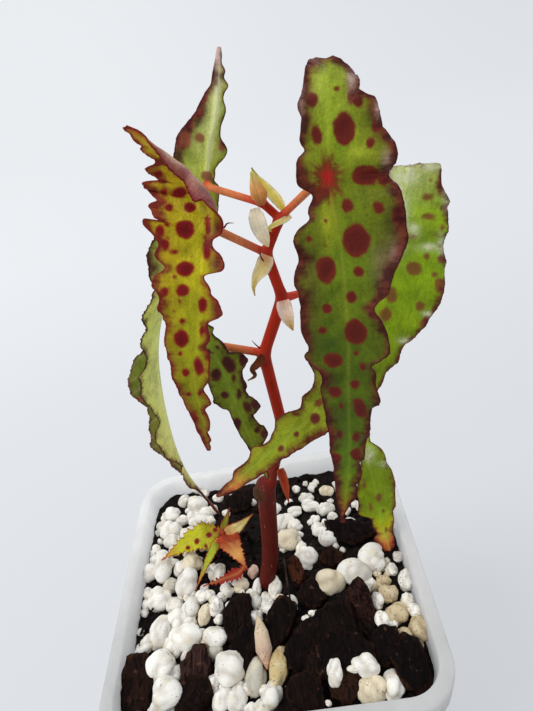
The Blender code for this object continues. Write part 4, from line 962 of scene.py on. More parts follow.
# %% Left front leaf
LEFT_FRONT = {
    "rib": [(-0.5, -9, 179.2), (1.7, -9, 176.5), (3.8, -8, 173.9), (5.6, -7.5, 171.2), (7.0, -7.8, 168.0),
            (6.6, -10, 165), (5.1, -12, 162), (3.9, -14, 157.5), (2.1, -15, 151.5), (0, -15, 145),
            (-0.8, -14, 135.4), (-1.5, -13, 128.8)],
    "facing": [(-0.5, -1, 0), (-0.5, -1, 0), (-0.4, -1, 0), (-0.3, -1, 0), (-0.2, -1, 0.2),
               (-0.1, -1, 0.3), (0, -1, 0.3), (0, -1, 0.3), (0, -1, 0.2), (0, -1, 0.1), (0, -1, 0),
               (0, -1, 0)],
    "left": [(0, 0.3), (1.2, 1.0), (57.7, 0.3)],
    "right": [(0, 0.3), (3.2, 2.1), (7.2, 3.4), (9.5, 3.8), (13, 4.7), (16, 5.1), (17.4, 4.7), (18, 2.8),
              (21.7, 2.2), (48, 1.0), (53, 0.8), (57.7, 0.3)],
    "fold_left": steady(5),
    "fold_right": [(0, 40), (3, 110), (12, 120), (16, 100), (18.5, 45), (24, 25), (57, 15)],
    "lean_left": [(0, 40), (4, 42), (8, 46), (12, 45), (14, 31), (16, 14), (18, 6), (24, 0)], "bend": 2.4,
    "wave": 0.4, "attach": 16.5, "teeth": 0.05, "star": 0.6, "seed": 12, "seen_left": [(0.0, 60.0)],
    "seen_right": [(18.3, 60.0)],
    "outlines": [[
        (130, 131), (131, 136), (134, 140), (138, 144), (142, 145.5), (144, 147), (139, 148), (141, 151),
        (145, 155), (153, 159), (156, 161), (155, 164), (151, 164.5), (148, 164), (145, 166.5),
        (147, 170), (149, 174), (153, 177.5), (157, 180), (160, 181), (156, 182.5), (139.5, 180),
        (142, 184), (145, 188), (149, 190.5), (152, 194), (153, 198), (157, 200), (163, 202), (161, 204),
        (151, 201.5), (147, 205.5), (152, 211), (151, 214.5), (154, 217), (158, 219), (161, 220),
        (157, 221), (152, 220), (144, 217), (142, 225), (147, 230), (151, 231), (157, 239), (159, 243),
        (160, 248), (156, 250), (154, 253), (155, 257), (159, 261), (166, 266), (163, 271), (158, 273),
        (154, 276), (152, 281), (151, 287), (155, 290), (159, 294), (160, 300), (158, 306), (157, 311),
        (161, 314), (164, 316), (161, 320), (165, 322.5), (166, 327), (165, 333), (164.5, 340),
        (166, 347), (167, 353), (167, 360), (170, 364), (171, 370), (172, 377), (175, 382), (178, 388),
        (179, 396), (182, 398), (186, 408), (189, 411), (191, 416), (193, 420), (195, 425), (196.5, 431),
        (200, 435), (202, 440), (208, 452), (210, 452), (211, 447), (209, 443), (211.5, 441), (210, 437),
        (207, 433), (206, 430), (210, 428.5), (210, 422), (208, 416), (205, 411), (205, 409), (208, 406),
        (211.5, 404), (210, 399), (207, 396), (204, 392), (203, 389), (206, 386), (209, 381), (210, 375),
        (209, 369), (210, 363), (210, 357), (207, 350), (204.5, 348), (209, 342), (210, 337), (207, 325),
        (209, 322), (213, 320.5), (222, 317), (223, 316), (221, 311), (219, 304), (217, 299),
        (210, 295.5), (211, 291), (209, 286), (203, 278), (204, 275.5), (208, 273), (221, 274),
        (223, 270), (224.5, 266), (223, 260), (221, 256), (218, 252), (214, 250), (212, 246), (212, 241),
        (213, 238.5), (217, 237), (220, 236), (221, 232),
    ]],
    "band_left": [(0, 0.5), (8, 1.2), (14, 2.2), (20, 1.2), (45, 0.7), (57, 0.5)],
    "band_right": [(0, 0.5), (6, 1.0), (14, 1.3), (17, 1.1), (20, 1.0), (26, 0.9), (33, 1.0), (38, 0.9),
                   (45, 0.6), (57, 0.4)],
    "spots": [(162, 157, 2, 2.5), (165, 162, 2.5, 3), (158.5, 173.5, 4, 4), (180, 173.5, 7, 4),
              (180, 192, 8.5, 6, -15), (164, 192, 4, 6), (169, 208, 4.5, 4.5), (190, 208, 6, 6),
              (185, 230, 9.5, 9.5), (167, 225.5, 2.5, 2.5), (160, 231, 5, 5), (168, 237.5, 2, 2),
              (165, 245, 4, 5), (208.5, 229, 2.5, 6), (205, 238, 1.2, 2), (174.5, 252, 4, 2.7),
              (207, 252.5, 4, 10, -10), (192, 256.5, 1.2, 1.2), (185.5, 268.5, 9, 8),
              (175, 277, 1.7, 1.7), (182.5, 290.5, 7, 6), (165, 292, 5, 5), (180, 301, 2, 2),
              (203, 304.5, 4.5, 8.5), (174, 311, 1.3, 1.3), (182.6, 320, 3, 3.3), (202, 332, 2.3, 5.5),
              (181, 338, 8, 8.5), (180.5, 353.5, 2, 2), (199, 365, 4.5, 8.5, -15), (186, 372, 3.5, 4.5),
              (189, 393, 2, 2), (200, 393, 2, 3), (194, 417, 3, 6)],
    # The first four patches, dark red-brown on the right lobes, are painted shade.
    "upper_patches": [(219, 228, 9, 14, (100, 36, 32), 1.0), (218, 263, 9, 13, (100, 36, 32), 1.0),
                      (218, 310, 8, 11, (100, 36, 32), 1.0), (211, 345, 6, 9, (108, 42, 34), 0.9),
                      (206, 200, 5, 14, (120, 50, 40), 0.5), (160, 240, 7, 16, (140, 70, 34), 0.4),
                      (180, 215, 14, 12, (206, 196, 40), 0.4), (190, 300, 8, 30, (176, 172, 34), 0.4)],
    "lower_patches": [(206, 200, 12, 16, (122, 44, 56), 0.75), (186, 172, 8, 5, (150, 70, 76), 0.5)],
    "upper_mid": [(0, 190, 110, 40), (4, 208, 190, 36), (12, 206, 194, 32), (24, 194, 190, 28),
                  (34, 172, 176, 26), (44, 152, 158, 24), (52, 148, 132, 28), (57, 166, 96, 40)],
    "upper_side": [(0, 180, 80, 34), (4, 196, 140, 34), (12, 196, 156, 32), (24, 180, 150, 28),
                   (44, 142, 122, 26), (57, 150, 80, 36)],
    "lower_mid": [(0, 190, 110, 70), (5, 228, 212, 188), (14, 222, 176, 164), (20, 180, 104, 96),
                  (30, 150, 130, 80), (57, 130, 110, 60)],
    "lower_side": [(0, 190, 92, 70), (5, 180, 100, 92), (14, 164, 70, 66), (20, 150, 54, 50),
                   (30, 120, 80, 60), (57, 120, 80, 50)],
    "colours": {"Spot": (150, 26, 24), "Core": (112, 18, 22), "Margin": (152, 50, 38),
                "Edge": (122, 28, 28), "Vein": (206, 186, 60), "Star": (170, 40, 34),
                "Bloom": (240, 222, 204)},
    "faint": 0.9, "vein_share": 0.25, "glow": 0.32,
}
make_leaf("leaf_left_front", LEFT_FRONT, "leaf_upper", 380, 22)

# %% [markdown]
# ## The long leaf at the back left
# Its upper part turns its underside to the viewer, with a pale raised midrib. Lower down it is
# seen from its edge and hangs in an arc to the soil, where its red tip ends.

# %% Left back leaf
LEFT_BACK = {
    "rib": [(12.1, 8, 185), (11, 6.5, 181), (9.9, 5.5, 177.2), (8.3, 5, 173.6), (6.8, 4.5, 169.5),
            (4.7, 4.5, 163.3), (-0.6, 6, 154.8), (-7.4, 9, 146.3), (-11.5, 11, 137.6), (-13.2, 12, 132),
            (-14.2, 12, 126.6), (-15.5, 13, 118.1), (-16, 13, 110.5), (-16, 14, 100.7), (-11.4, 15.5, 82)],
    "facing": [(-0.3, 1, 0), (-0.3, 1, 0), (-0.3, 1, 0), (-0.3, 1, 0), (-0.4, 1, 0), (-0.6, 1, 0),
               (-0.9, 0.6, 0), (-1, 0.3, 0), (-1, 0.15, 0), (-1, 0.1, 0), (-1, 0.1, 0), (-1, 0.1, 0),
               (-1, 0.1, 0), (-1, 0, 0), (-1, 0, 0)],
    "left": [(0, 0.3), (16.5, 1.3), (20, 2.5), (28, 3.5), (34, 2.4), (38, 1.3), (44, 1.0), (49, 1.2),
             (53, 4.0), (86, 5.5), (92, 4.0), (97, 2.8), (111.5, 0.3)],
    "right": [(0, 0.3), (12.5, 4.8), (14.8, 5.2), (20, 6), (24, 6.5), (28, 7.2), (32, 7.8), (36, 7.0),
              (38.5, 4.5), (43.5, 6.0), (47.8, 4.5), (86.5, 2.4), (96, 1.8), (111.5, 0.3)],
    "fold_left": [(0, 8), (20, 8), (35, 50), (48, 80), (60, 88), (92, 80), (112, 55)],
    "fold_right": [(0, 8), (20, 8), (35, 20), (112, 22)], "attach": 19.0, "teeth": 0.08, "star": 0.8,
    "seed": 13, "seen_left": [(0.0, 19.5), (52.0, 92.0)], "seen_right": [(0.0, 14.0), (45.0, 108.0)],
    "outlines": [[
        (218, 46), (216, 52), (215.5, 58), (214.5, 64), (213, 70), (212, 76), (211, 86), (207, 89),
        (204, 95), (201, 100), (195, 112), (190, 119), (181, 130), (177, 137), (175, 144), (214.5, 169),
        (220, 46),
    ], [
        (141, 318), (144, 324), (146, 329), (142, 334), (141, 341), (143, 351), (146, 360), (147, 366),
        (146, 369), (141, 373), (139, 379), (140, 388), (142, 397), (146, 404), (151, 410), (156, 415),
        (159, 421), (155, 435), (157, 443), (160, 450), (166, 457), (171, 461), (177, 463), (183, 468),
        (184, 473), (182, 479), (190, 488), (197, 490), (202, 495), (210, 505), (219, 515), (180, 296),
    ]],
    "outlines_left": [[
        (170, 190), (214, 180), (215, 175), (214.5, 169), (217, 165), (221, 162), (225, 158),
        (227.5, 152), (227, 147), (223, 142), (220, 138), (220, 131), (221, 124), (224, 118),
        (225.5, 112), (226.5, 107), (223.5, 103), (223, 98), (223.5, 93), (229, 86), (227, 82),
        (223.5, 80), (222.5, 77), (224.5, 74), (226, 71), (225, 68), (221.5, 66), (221, 62), (222, 56),
        (221, 50), (220, 46),
    ], [
        (147, 296), (147, 340), (143, 352), (137, 357), (131, 365), (129, 373), (129, 380), (128.5, 391),
        (130, 395), (148, 407), (147, 412), (149, 420), (150, 430), (150, 443), (152, 448), (158, 453),
        (166, 460), (200, 460),
    ]],
    "band_left": [(0, 0.5), (10, 0.4), (30, 0.5), (60, 0.6), (95, 0.7), (104, 1.2), (111, 2.0)],
    "band_right": [(0, 0.5), (6, 1.4), (12, 1.6), (18, 1.2), (30, 0.6), (60, 0.6), (95, 0.7), (104, 1.2),
                   (111, 2.0)],
    "spots": [(199.5, 137.5, 5, 5), (204, 97, 4, 5), (199, 113, 5, 5), (184, 140, 7, 10, 20),
              (190, 125, 4, 6), (207, 176, 6, 5), (222, 146, 3, 5)],
    # Painted sheen: a pale pink patch near the top of the blade.
    "bloom": [(217, 54, 4, 12, 1.3)], "unseen": [(26, 100, -6, -0.6, 26)], "wave": 0.25, "quilt": 0.08,
    "upper_mid": [(0, 130, 150, 50), (50, 118, 140, 44), (100, 120, 130, 50), (108, 150, 80, 50)],
    "upper_side": [(0, 130, 130, 50), (50, 112, 128, 40), (100, 120, 100, 50), (108, 130, 50, 40)],
    "lower_mid": [(0, 200, 140, 120), (6, 240, 242, 176), (14, 226, 236, 130), (22, 196, 216, 60),
                  (32, 242, 250, 140), (70, 248, 252, 160), (98, 236, 230, 140), (108, 170, 84, 60)],
    "lower_side": [(0, 180, 110, 96), (6, 172, 192, 34), (12, 160, 194, 16), (18, 166, 196, 24),
                   (30, 242, 246, 112), (70, 246, 250, 130), (98, 214, 190, 110), (108, 146, 50, 45)],
    "lower_patches": [(186, 138, 9, 16, (96, 40, 50), 0.75), (203, 98, 5, 14, (110, 46, 50), 0.6),
                      (220, 145, 4, 8, (170, 110, 96), 0.5), (153, 268, 8, 9, (84, 28, 38), 0.95),
                      (150, 243, 8, 14, (130, 176, 60), 0.7)],
    "colours": {"Spot": (170, 96, 70), "Core": (150, 76, 56), "Margin": (140, 58, 56),
                "Edge": (84, 24, 34), "Vein": (244, 246, 206), "Star": (160, 50, 44),
                "Bloom": (234, 204, 196)},
    "faint": 0.15, "vein_share": 0.75, "glow": 0.36,
}
make_leaf("leaf_left_back", LEFT_BACK, "leaf_underside", 480, 16)

# %% [markdown]
# ## The leaf behind on the right
# Its upper face looks away, so the viewer sees the bright underside, where light from behind
# comes through and the spots show only faintly. Its whitish top and pale patches are painted
# sheen. It narrows and then widens again near the soil.

# %% Right back leaf
RIGHT_BACK = {
    "rib": [(39.6, 10.5, 162.5), (38.6, 12, 156), (36.8, 13, 148.5), (34.8, 13, 139.7), (32.2, 11, 131.4),
            (29, 9, 122.7), (26.5, 8, 114.8), (25.9, 6, 109.7), (26.7, 5, 103.2), (27.4, 4, 94.8),
            (28.2, 3.4, 84.6), (29.1, 1.5, 76.5)],
    "facing": [(0.2, 0.6, -0.7), (0.1, 1, -0.2), (0, 1, 0), (0, 1, 0), (0, 1, 0), (0, 1, -0.1),
               (0, 1, -0.1), (0, 1, -0.1), (0, 1, -0.1), (0, 1, 0), (0, 1, 0), (0, 1, 0)],
    "left": [(0, 2.4), (41.8, 4.3), (44.5, 2.9), (53.8, 2.2), (57.8, 1.6), (61.8, 3.8), (87.4, 0.3)],
    "right": [(0, 1.4), (0.9, 2.8), (5, 4.6), (12, 6.4), (20, 7.0), (28, 6.6), (36, 5.2), (44, 3.6),
              (54, 2.6), (59.6, 1.4), (63.6, 1.8), (67.2, 3.0), (87.4, 0.3)],
    "fold_left": steady(6), "fold_right": steady(6), "lean_left": [(0, 30), (6, 0)],
    "lean_right": [(0, 30), (6, 0)], "attach": 18.0, "teeth": 0.08, "star": 0.8, "seed": 14,
    "seen_left": [(0.0, 43.5), (62.0, 90.0)], "seen_right": [(0.0, 1.2), (64.0, 90.0)],
    "outlines": [[
        (406, 166), (411, 165), (417, 163.5), (422, 164), (424, 166.5), (436, 161.5), (439, 163),
        (441, 168), (441, 176), (441.5, 184), (447, 195), (450, 200), (449, 205), (447, 208),
        (448.5, 213), (449, 218), (448.5, 226), (446, 235), (445, 242), (443, 250), (444, 256),
        (446, 262), (447, 268), (447.5, 273), (446, 280), (444, 286), (441, 297), (440, 304), (438, 310),
        (430, 318), (427, 322), (425, 325.5), (421, 328), (415, 338), (411, 343), (405, 345), (403, 348),
        (400, 352), (398.5, 357), (397.5, 362), (394, 366), (386, 374), (383, 380), (380, 384),
        (385, 175),
    ], [
        (383, 450), (385, 455), (386, 461), (389, 467), (392, 471), (394, 478), (395, 484), (395.5, 492),
        (395, 500), (395, 507), (393, 513), (394, 518), (393, 525), (393, 532), (394, 538), (395, 541),
        (394, 547), (391, 550), (387, 552.5), (382, 551), (379, 547), (378, 542), (374, 540), (373, 537),
        (376, 537), (378, 535.5), (376, 532), (374, 529), (372, 524), (371.5, 520), (370, 516.5),
        (359, 517.5), (358.5, 510), (358, 500), (357, 492), (357.5, 484), (359, 478), (361, 475),
        (361, 470), (359.5, 465),
    ]],
    "band_left": [(0, 0.3), (4, 1.1), (12, 1.0), (20, 0.9), (28, 1.4), (34, 0.9), (44, 0.8), (60, 0.2),
                  (70, 0.9), (80, 0.9), (88, 0.7)],
    "band_right": [(0, 0.15), (20, 0.4), (44, 0.4), (60, 0.2), (76, 0.3), (80, 0.8), (87, 0.8)],
    "spots": [(427.5, 196.5, 6.5, 4), (428.5, 216, 6, 3), (430.5, 180, 1.5, 1.5), (436, 234, 2.5, 1.5),
              (413.5, 268, 8, 7), (426.5, 256, 3, 3), (434.5, 274.5, 3.5, 3), (419.5, 306, 4.5, 5),
              (385.5, 314, 6, 7), (391, 295, 6, 8), (441, 190, 4, 5), (443, 208, 3, 3), (441, 259, 4, 4),
              (439, 285, 5, 8), (413, 236, 4, 2.5), (424, 166, 3, 3), (442, 228, 2, 3),
              (425, 322, 7, 4, -30), (408, 342, 7, 4, -40), (364, 484.5, 2, 4), (378.5, 496.5, 3, 4),
              (370.5, 507.5, 1.5, 4), (383, 510.5, 1.5, 1.5), (368.5, 457, 2.5, 2.5),
              (386, 529, 1.5, 2.5), (395, 486, 2, 6), (394, 515, 2, 7)],
    # Painted sheen: whitish patches on the underside, where it catches the light.
    "bloom": [(404, 175, 13, 10, 1.5), (401, 205, 8, 32, 1.3), (430, 166, 14, 5, 1.1),
              (414, 229, 6, 7, 0.8), (430, 247, 12, 4, 1.0), (441, 244, 4, 10, 0.8),
              (427, 314, 5, 3, 0.9), (404, 340, 6, 3, 0.9), (369, 454, 5, 7, 1.0), (383, 464, 6, 3, 0.6),
              (445, 200, 3, 10, 0.7)],
    "unseen": [(8, 50, 1, 6, 16), (44, 60, -2, 2, 4)],
    "upper_mid": [(0, 150, 165, 90), (20, 116, 140, 40), (60, 112, 134, 34), (80, 140, 140, 50),
                  (87, 200, 120, 80)],
    "upper_side": [(0, 150, 150, 90), (20, 112, 124, 40), (60, 110, 122, 36), (80, 150, 130, 50),
                   (87, 200, 110, 80)],
    # Painted sheen: the whitish tones at the top of the underside.
    "lower_mid": [(0, 214, 226, 140), (8, 176, 204, 60), (18, 160, 194, 30), (34, 150, 180, 26),
                  (46, 134, 156, 30), (58, 190, 214, 60), (66, 140, 164, 30), (76, 150, 180, 32),
                  (79, 160, 190, 34), (82.5, 205, 215, 36), (85, 236, 234, 90), (87.4, 240, 150, 80)],
    "lower_side": [(0, 200, 206, 110), (8, 160, 190, 30), (18, 152, 190, 26), (34, 136, 158, 26),
                   (46, 124, 144, 30), (58, 182, 206, 56), (66, 136, 160, 30), (76, 150, 172, 34),
                   (80, 170, 180, 38), (82.5, 206, 190, 44), (85, 226, 130, 66), (87.4, 236, 96, 74)],
    "colours": {"Spot": (150, 92, 50), "Core": (140, 78, 46), "Margin": (128, 60, 44),
                "Edge": (104, 32, 34), "Vein": (190, 206, 96), "Star": (160, 50, 44),
                "Bloom": (232, 236, 198)},
    "faint": 0.12, "vein_share": 0.2, "glow": 0.36, "softness": 0.34,
}
make_leaf("leaf_right_back", RIGHT_BACK, "leaf_underside", 410, 22)

# %% [markdown]
# ## The two low leaves
# One hangs behind, darker and spotted, and one crosses in front of the cane, bright green with a
# thin margin and an orange tip.

# %% Low leaves
LOW_BACK = {
    "rib": [(0.3, -3.5, 148.5), (1.3, -4, 144), (2.4, -4.5, 139), (3.2, -5, 133), (4, -5.5, 126),
            (5, -5.5, 119), (5.8, -5.5, 113)],
    "facing": [(0, -1, 0.1)] * 7,
    "left": [(0, 0.4), (3, 2.2), (8, 3.2), (13, 3.2), (15.6, 3.0), (21.7, 1.5), (27.5, 1.0), (36, 0.3)],
    "right": [(0, 0.5), (3.8, 2.8), (27, 2.4), (31, 1.3), (36, 0.3)], "attach": 6.5, "teeth": 0.06,
    "star": 0.2, "seed": 15, "seen_left": [(15.0, 27.0)], "seen_right": [(3.0, 28.0)],
    "outlines": [[
        (211, 331), (214, 336), (223, 341.5), (226, 346), (228, 351), (231, 354), (237, 352),
        (241, 353.5), (245, 358), (249, 361), (246, 365), (242, 370), (243, 377), (246, 382), (247, 387),
        (245.5, 392), (249, 397), (257, 400), (261, 404.5), (258, 409), (253, 415), (255, 420),
        (259, 425), (264, 426.5), (268, 431), (266, 437), (264.5, 441), (262, 446), (250, 448),
        (247, 445), (244, 441), (240, 436), (238, 431), (235, 425), (232, 418), (230, 413), (227, 410),
        (222, 410), (213, 401), (210, 390),
    ]],
    "band_left": [(0, 0.3), (10, 0.5), (36, 0.3)],
    "band_right": [(0, 0.3), (10, 0.7), (25, 0.8), (36, 0.3)],
    "spots": [(216.5, 374, 5.5, 7), (229, 364, 6, 10, -30), (224.5, 394.5, 4, 4), (239, 394, 3, 5),
              (247.5, 407, 4, 7, -30), (257, 430, 2.5, 2.5), (234, 377, 2.5, 4), (237, 424, 4, 7),
              (244, 361, 5, 8), (245, 386, 3, 8), (256, 404, 5, 5), (265, 433, 4, 5)],
    "unseen": [(1, 8, -2, 2, 3)],
    "upper_mid": [(0, 140, 158, 50), (8, 114, 134, 28), (20, 114, 132, 26), (36, 132, 142, 30)],
    "upper_side": [(0, 124, 124, 50), (8, 104, 108, 26), (20, 102, 108, 26), (36, 120, 92, 30)],
    "lower_mid": [(0, 180, 190, 140), (36, 150, 160, 90)],
    "lower_side": [(0, 150, 150, 90), (36, 130, 110, 70)],
    "colours": {"Spot": (86, 38, 28), "Core": (58, 22, 22), "Margin": (86, 38, 30),
                "Vein": (128, 146, 60), "Edge": (64, 22, 24), "Star": (150, 40, 36),
                "Bloom": (200, 190, 170)},
}
LOW_FRONT = {
    "rib": [(20.9, -8, 140.7), (19.5, -9, 136.1), (18.1, -9, 132.3), (16, -9, 129.4), (13, -10, 127.5),
            (9.1, -11, 125.6), (5.1, -12, 123.1), (1.1, -13, 120.9), (-2.5, -14, 118.8)],
    "facing": [(0, -1, 0.4), (0, -1, 0.5), (0, -1, 0.5), (0, -1, 0.5), (0, -1, 0.5), (0, -1, 0.5),
               (0, -1, 0.4), (0, -1, 0.3), (0, -1, 0.2)],
    "left": [(0, 0.4), (1.5, 3.6), (3.6, 2.3), (5.2, 1.8), (34.5, 0.3)],
    "right": [(0, 0.4), (3, 3.0), (8, 4.0), (12.8, 3.8), (34.5, 0.3)], "attach": 9.5, "teeth": 0.06,
    "star": 0.7, "seed": 16, "seen_left": [(4.0, 40.0)], "seen_right": [(9.0, 40.0)],
    "outlines": [[
        (345, 340), (314.5, 374), (314.5, 380), (313, 386), (311, 389), (306, 392), (302, 397),
        (301.5, 402), (300.5, 408), (296, 410), (290, 411), (285, 413), (281, 416), (276, 419),
        (275, 423), (275, 429), (272, 434), (270, 440), (266, 443), (260, 446), (254, 446.5),
        (250.5, 450), (250, 455), (248, 460), (243, 464), (237, 468), (233, 472), (233, 477), (232, 480),
        (227, 483), (222, 488), (218, 493), (215, 497.5), (219, 497), (225, 495), (230, 492), (238, 489),
        (244, 486), (250, 482), (257, 478), (263, 473), (273, 467), (279, 463), (283, 459), (288, 457),
        (292, 453), (297, 450), (303, 448), (315, 440), (320, 437), (324, 435), (327, 431), (350, 420),
    ]],
    "band_left": [(0, 0.4), (15, 0.6), (28, 0.6), (34, 0.9)],
    "band_right": [(0, 0.8), (8, 1.4), (20, 1.2), (26, 0.7), (34, 0.9)],
    "spots": [(315, 418, 5, 6), (296.5, 434, 3, 3), (281, 448, 3, 3), (296, 414, 4, 2)],
    "upper_mid": [(0, 140, 150, 50), (10, 150, 166, 38), (20, 150, 170, 36), (27, 152, 164, 38),
                  (31, 216, 140, 70), (34.5, 232, 120, 90)],
    "upper_side": [(0, 140, 130, 50), (10, 144, 144, 36), (27, 148, 134, 38), (31, 210, 118, 70),
                   (34.5, 226, 104, 80)],
    "lower_mid": [(0, 180, 190, 120), (34, 190, 130, 90)],
    "lower_side": [(0, 150, 150, 80), (34, 180, 100, 80)],
    "colours": {"Spot": (126, 64, 38), "Core": (96, 40, 30), "Margin": (124, 48, 36),
                "Vein": (162, 172, 66), "Edge": (100, 34, 28), "Star": (170, 60, 44),
                "Bloom": (220, 210, 180)},
}
make_leaf("leaf_low_back", LOW_BACK, "leaf_upper", 240, 16)
make_leaf("leaf_low_front", LOW_FRONT, "leaf_upper", 240, 16)

# %% [markdown]
# ## Round bars
# Canes, leafstalks and hairs are round bars along a smooth curve. A bar is a ring of points
# swept along the curve, and it closes over a rounded end instead of a flat cut.

# %% Bars along a curve
END_ANGLES = np.radians([72.0, 48.0, 24.0])


def bar(points, radii, rings, sides):
    """Points, faces and share of the length of a round bar.

    Ring point = curve + radius * (cos(turn) * across + sin(turn) * other); past either end the
    radius shrinks with the cosine and the ring moves on with the sine of three angles to a pole.
    """
    along, line, knots = run_line(points, rings)
    radius = np.interp(along, knots, radii)
    forward = unit(np.gradient(line, axis=0))
    steady = np.eye(3)[np.argmin(np.abs(forward).max(axis=0))]
    across = unit(np.cross(forward, steady))
    sink, shrink = np.sin(END_ANGLES)[:, None], np.cos(END_ANGLES)
    first, last = forward[0] * radius[0], forward[-1] * radius[-1]
    line = np.vstack([line[0] - first * sink, line, line[-1] + last * sink[::-1]])
    full = np.r_[radius[0] * shrink, radius, radius[-1] * shrink[::-1]]
    across = np.vstack([across[:1]] * 3 + [across] + [across[-1:]] * 3)
    ahead = np.vstack([forward[:1]] * 3 + [forward] + [forward[-1:]] * 3)
    other = np.cross(ahead, across)
    turn = 2 * np.pi * np.arange(sides) / sides
    circle = np.cos(turn)[None, :, None] * across[:, None] + np.sin(turn)[None, :, None] * other[:, None]
    body = (line[:, None] + circle * full[:, None, None]).reshape(-1, 3)
    poles = np.array([line[3] - first, line[-4] + last])
    share = np.r_[np.repeat(np.r_[0, 0, 0, along / along[-1], 1, 1, 1], sides), 0, 1]
    return np.vstack([body, poles]), capped_rings(len(line), sides, turned=True), share


# %% [markdown]
# ## Cane and leafstalks
# The lower cane is old, thick and brownish; a thinner young cane zigzags up from its top and
# swells at every node, where a leafstalk leaves it. A remesh grows the bars together into one
# skin. Each point then takes its colour from the bars near it: dark red cane, orange stalks.

# %% Stem
OLD_CANE = [
    (-6.4, -1.0, 55.0), (-1.6, -1.0, 72.7), (1.4, -1.0, 84.0), (3.3, -1.0, 97.0), (4.4, -1.0, 106.6),
]
OLD_CANE_RADII = [1.9, 1.95, 1.9, 1.9, 2.05]
NODES = [
    (4.2, -1.0, 100.0), (5.4, -1.0, 107.0), (10.4, -1.0, 121.2), (9.8, -1.0, 138.1), (14.8, -1.0, 148.3),
    (13.5, -1.0, 156.5), (16.5, -1.0, 161.6), (14.1, -1.3, 164.9),
]
NODE_RADII = [1.2, 1.45, 1.4, 1.35, 1.25, 1.1, 1.1, 0.85]
INTERNODE_RADII = [1.25, 1.2, 1.1, 1.05, 0.92, 0.85, 0.68]
OLD_RED = (83, 22, 15)
# The second internode's red is partly the older cane's colour and partly painted shade, because it faces
# the lamp.
SHADED_LOWER_RED = (112, 34, 22)
YOUNG_RED = (162, 38, 16)
NODE_RED = (116, 20, 18)
STALK_ORANGE = (200, 116, 72)
STALK_RED = (196, 62, 42)
OLD_CANE_TONES = [OLD_RED] * 4 + [(92, 30, 26)]
VOXEL = 0.00018
BLEND = 0.25
BLOCK = 6000


def leaf_back(spec, offset):
    """A point behind the underside at the place where the leafstalk joins."""
    along, line, _, normal = blade_frame(spec, 160)
    place = np.array([np.interp(spec["attach"], along, line[:, k]) for k in range(3)])
    facing = np.array([np.interp(spec["attach"], along, normal[:, k]) for k in range(3)])
    return place - unit(facing) * offset


def zigzag():
    """The young cane: straight internodes between nodes, as knots at 0, 0.15, 0.5 and 0.85 of each."""
    points, radii, tones = [], [], []
    for k, internode in enumerate(INTERNODE_RADII):
        start, end = np.array(NODES[k]), np.array(NODES[k + 1])
        points += [start, *(start + share * (end - start) for share in (0.15, 0.5, 0.85))]
        radii += [NODE_RADII[k], internode, internode, internode]
        tones += [NODE_RED] + [(OLD_RED, SHADED_LOWER_RED, YOUNG_RED)[min(k, 2)]] * 3
    return points + [NODES[-1]], radii + NODE_RADII[-1:], tones + [NODE_RED]


STALKS = [
    ((14.3, -1.1, 164.4), LEFT_BACK, 0.58), ((16.6, -1.4, 161.8), RIGHT_FRONT, 0.6),
    ((13.4, -1, 156.6), LEFT_FRONT, 0.65), ((14.9, -1, 148.2), RIGHT_BACK, 0.65),
    ((9.8, -1, 138.4), LOW_BACK, 0.75), ((10.1, -1, 120.6), LOW_FRONT, 0.7),
]
STUB = [(3.4, -1.6, 103.6), (2.7, -1.9, 105.4), (2.5, -2.0, 106.6)]
STUB_RADII = [1.0, 1.15, 0.8]
STUB_TONES = [(74, 30, 22), (76, 48, 28), (62, 46, 30)]


def stem_bars():
    """Every bar of the stem: its points, radii, and colour at each knot."""
    bars = [(OLD_CANE, OLD_CANE_RADII, OLD_CANE_TONES), (STUB, STUB_RADII, STUB_TONES), zigzag()]
    for start, spec, radius in STALKS:
        first, end = np.array(start, float), leaf_back(spec, 2.1 + radius)
        run = [first + share * (end - first) for share in (0.12, 0.5, 0.85)]
        points = [first, *run, end, leaf_back(spec, 1.15 * radius)]
        colours = [STALK_RED, STALK_RED] + [STALK_ORANGE] * 3 + [STALK_RED]
        bars.append((points, [radius * 1.3] + [radius] * 4 + [radius * 1.15], colours))
    return bars


def nearest_colours(points, bars):
    """Colours of samples along the bars, weighted by exp(-distance to the bar's skin / BLEND)."""
    places, skins, colours = [], [], []
    for path, radii, tones in bars:
        along, line, knots = run_line(path, 48)
        places.append(line)
        skins.append(np.interp(along, knots, radii))
        colours.append(np.column_stack([np.interp(along, knots, channel) for channel in srgb(tones).T]))
    places, skins, colours = np.vstack(places), np.concatenate(skins), np.vstack(colours)
    result = np.empty((len(points), 3))
    for start in range(0, len(points), BLOCK):
        block = points[start:start + BLOCK]
        distance = np.linalg.norm(block[:, None] - places[None], axis=2) - skins
        weight = np.exp(-(distance - distance.min(axis=1, keepdims=True)) / BLEND)
        result[start:start + BLOCK] = weight @ colours / weight.sum(axis=1, keepdims=True)
    return result


def cane_material():
    """Satin red skin with lengthwise streaks, pale flecks on the old cane and fine ridges."""
    material, tree, shader = new_material("cane_skin")
    place = object_place(tree)
    drawn = stretched_place(tree, place, (1.0, 1.0, 0.16))
    streaks = noise(tree, drawn, 0.45, 4.0)
    clouds = compute(tree, "MULTIPLY_ADD", noise(tree, place, 2.2, 2.0), 0.4, 0.45)
    colour = shaded_ground(tree, compute(tree, "MULTIPLY_ADD", streaks, 0.7, clouds))
    old = soft_step(tree, part_of_place(tree, place, "Z"), 0.118, 0.100)
    flecks = compute(tree, "MULTIPLY", soft_step(tree, cells(tree, drawn, 1100.0), 0.14, 0.06), old)
    colour = blend_colours(tree, compute(tree, "MULTIPLY", flecks, 0.6), colour, (168, 122, 92))
    relief = compute(tree, "MULTIPLY_ADD", streaks, compute(tree, "MULTIPLY_ADD", old, 0.9, 0.25), flecks)
    finish(tree, shader, colour, compute(tree, "MULTIPLY_ADD", old, 0.2, 0.44), 0.1, relief, 0.5, 0.0002)
    return material


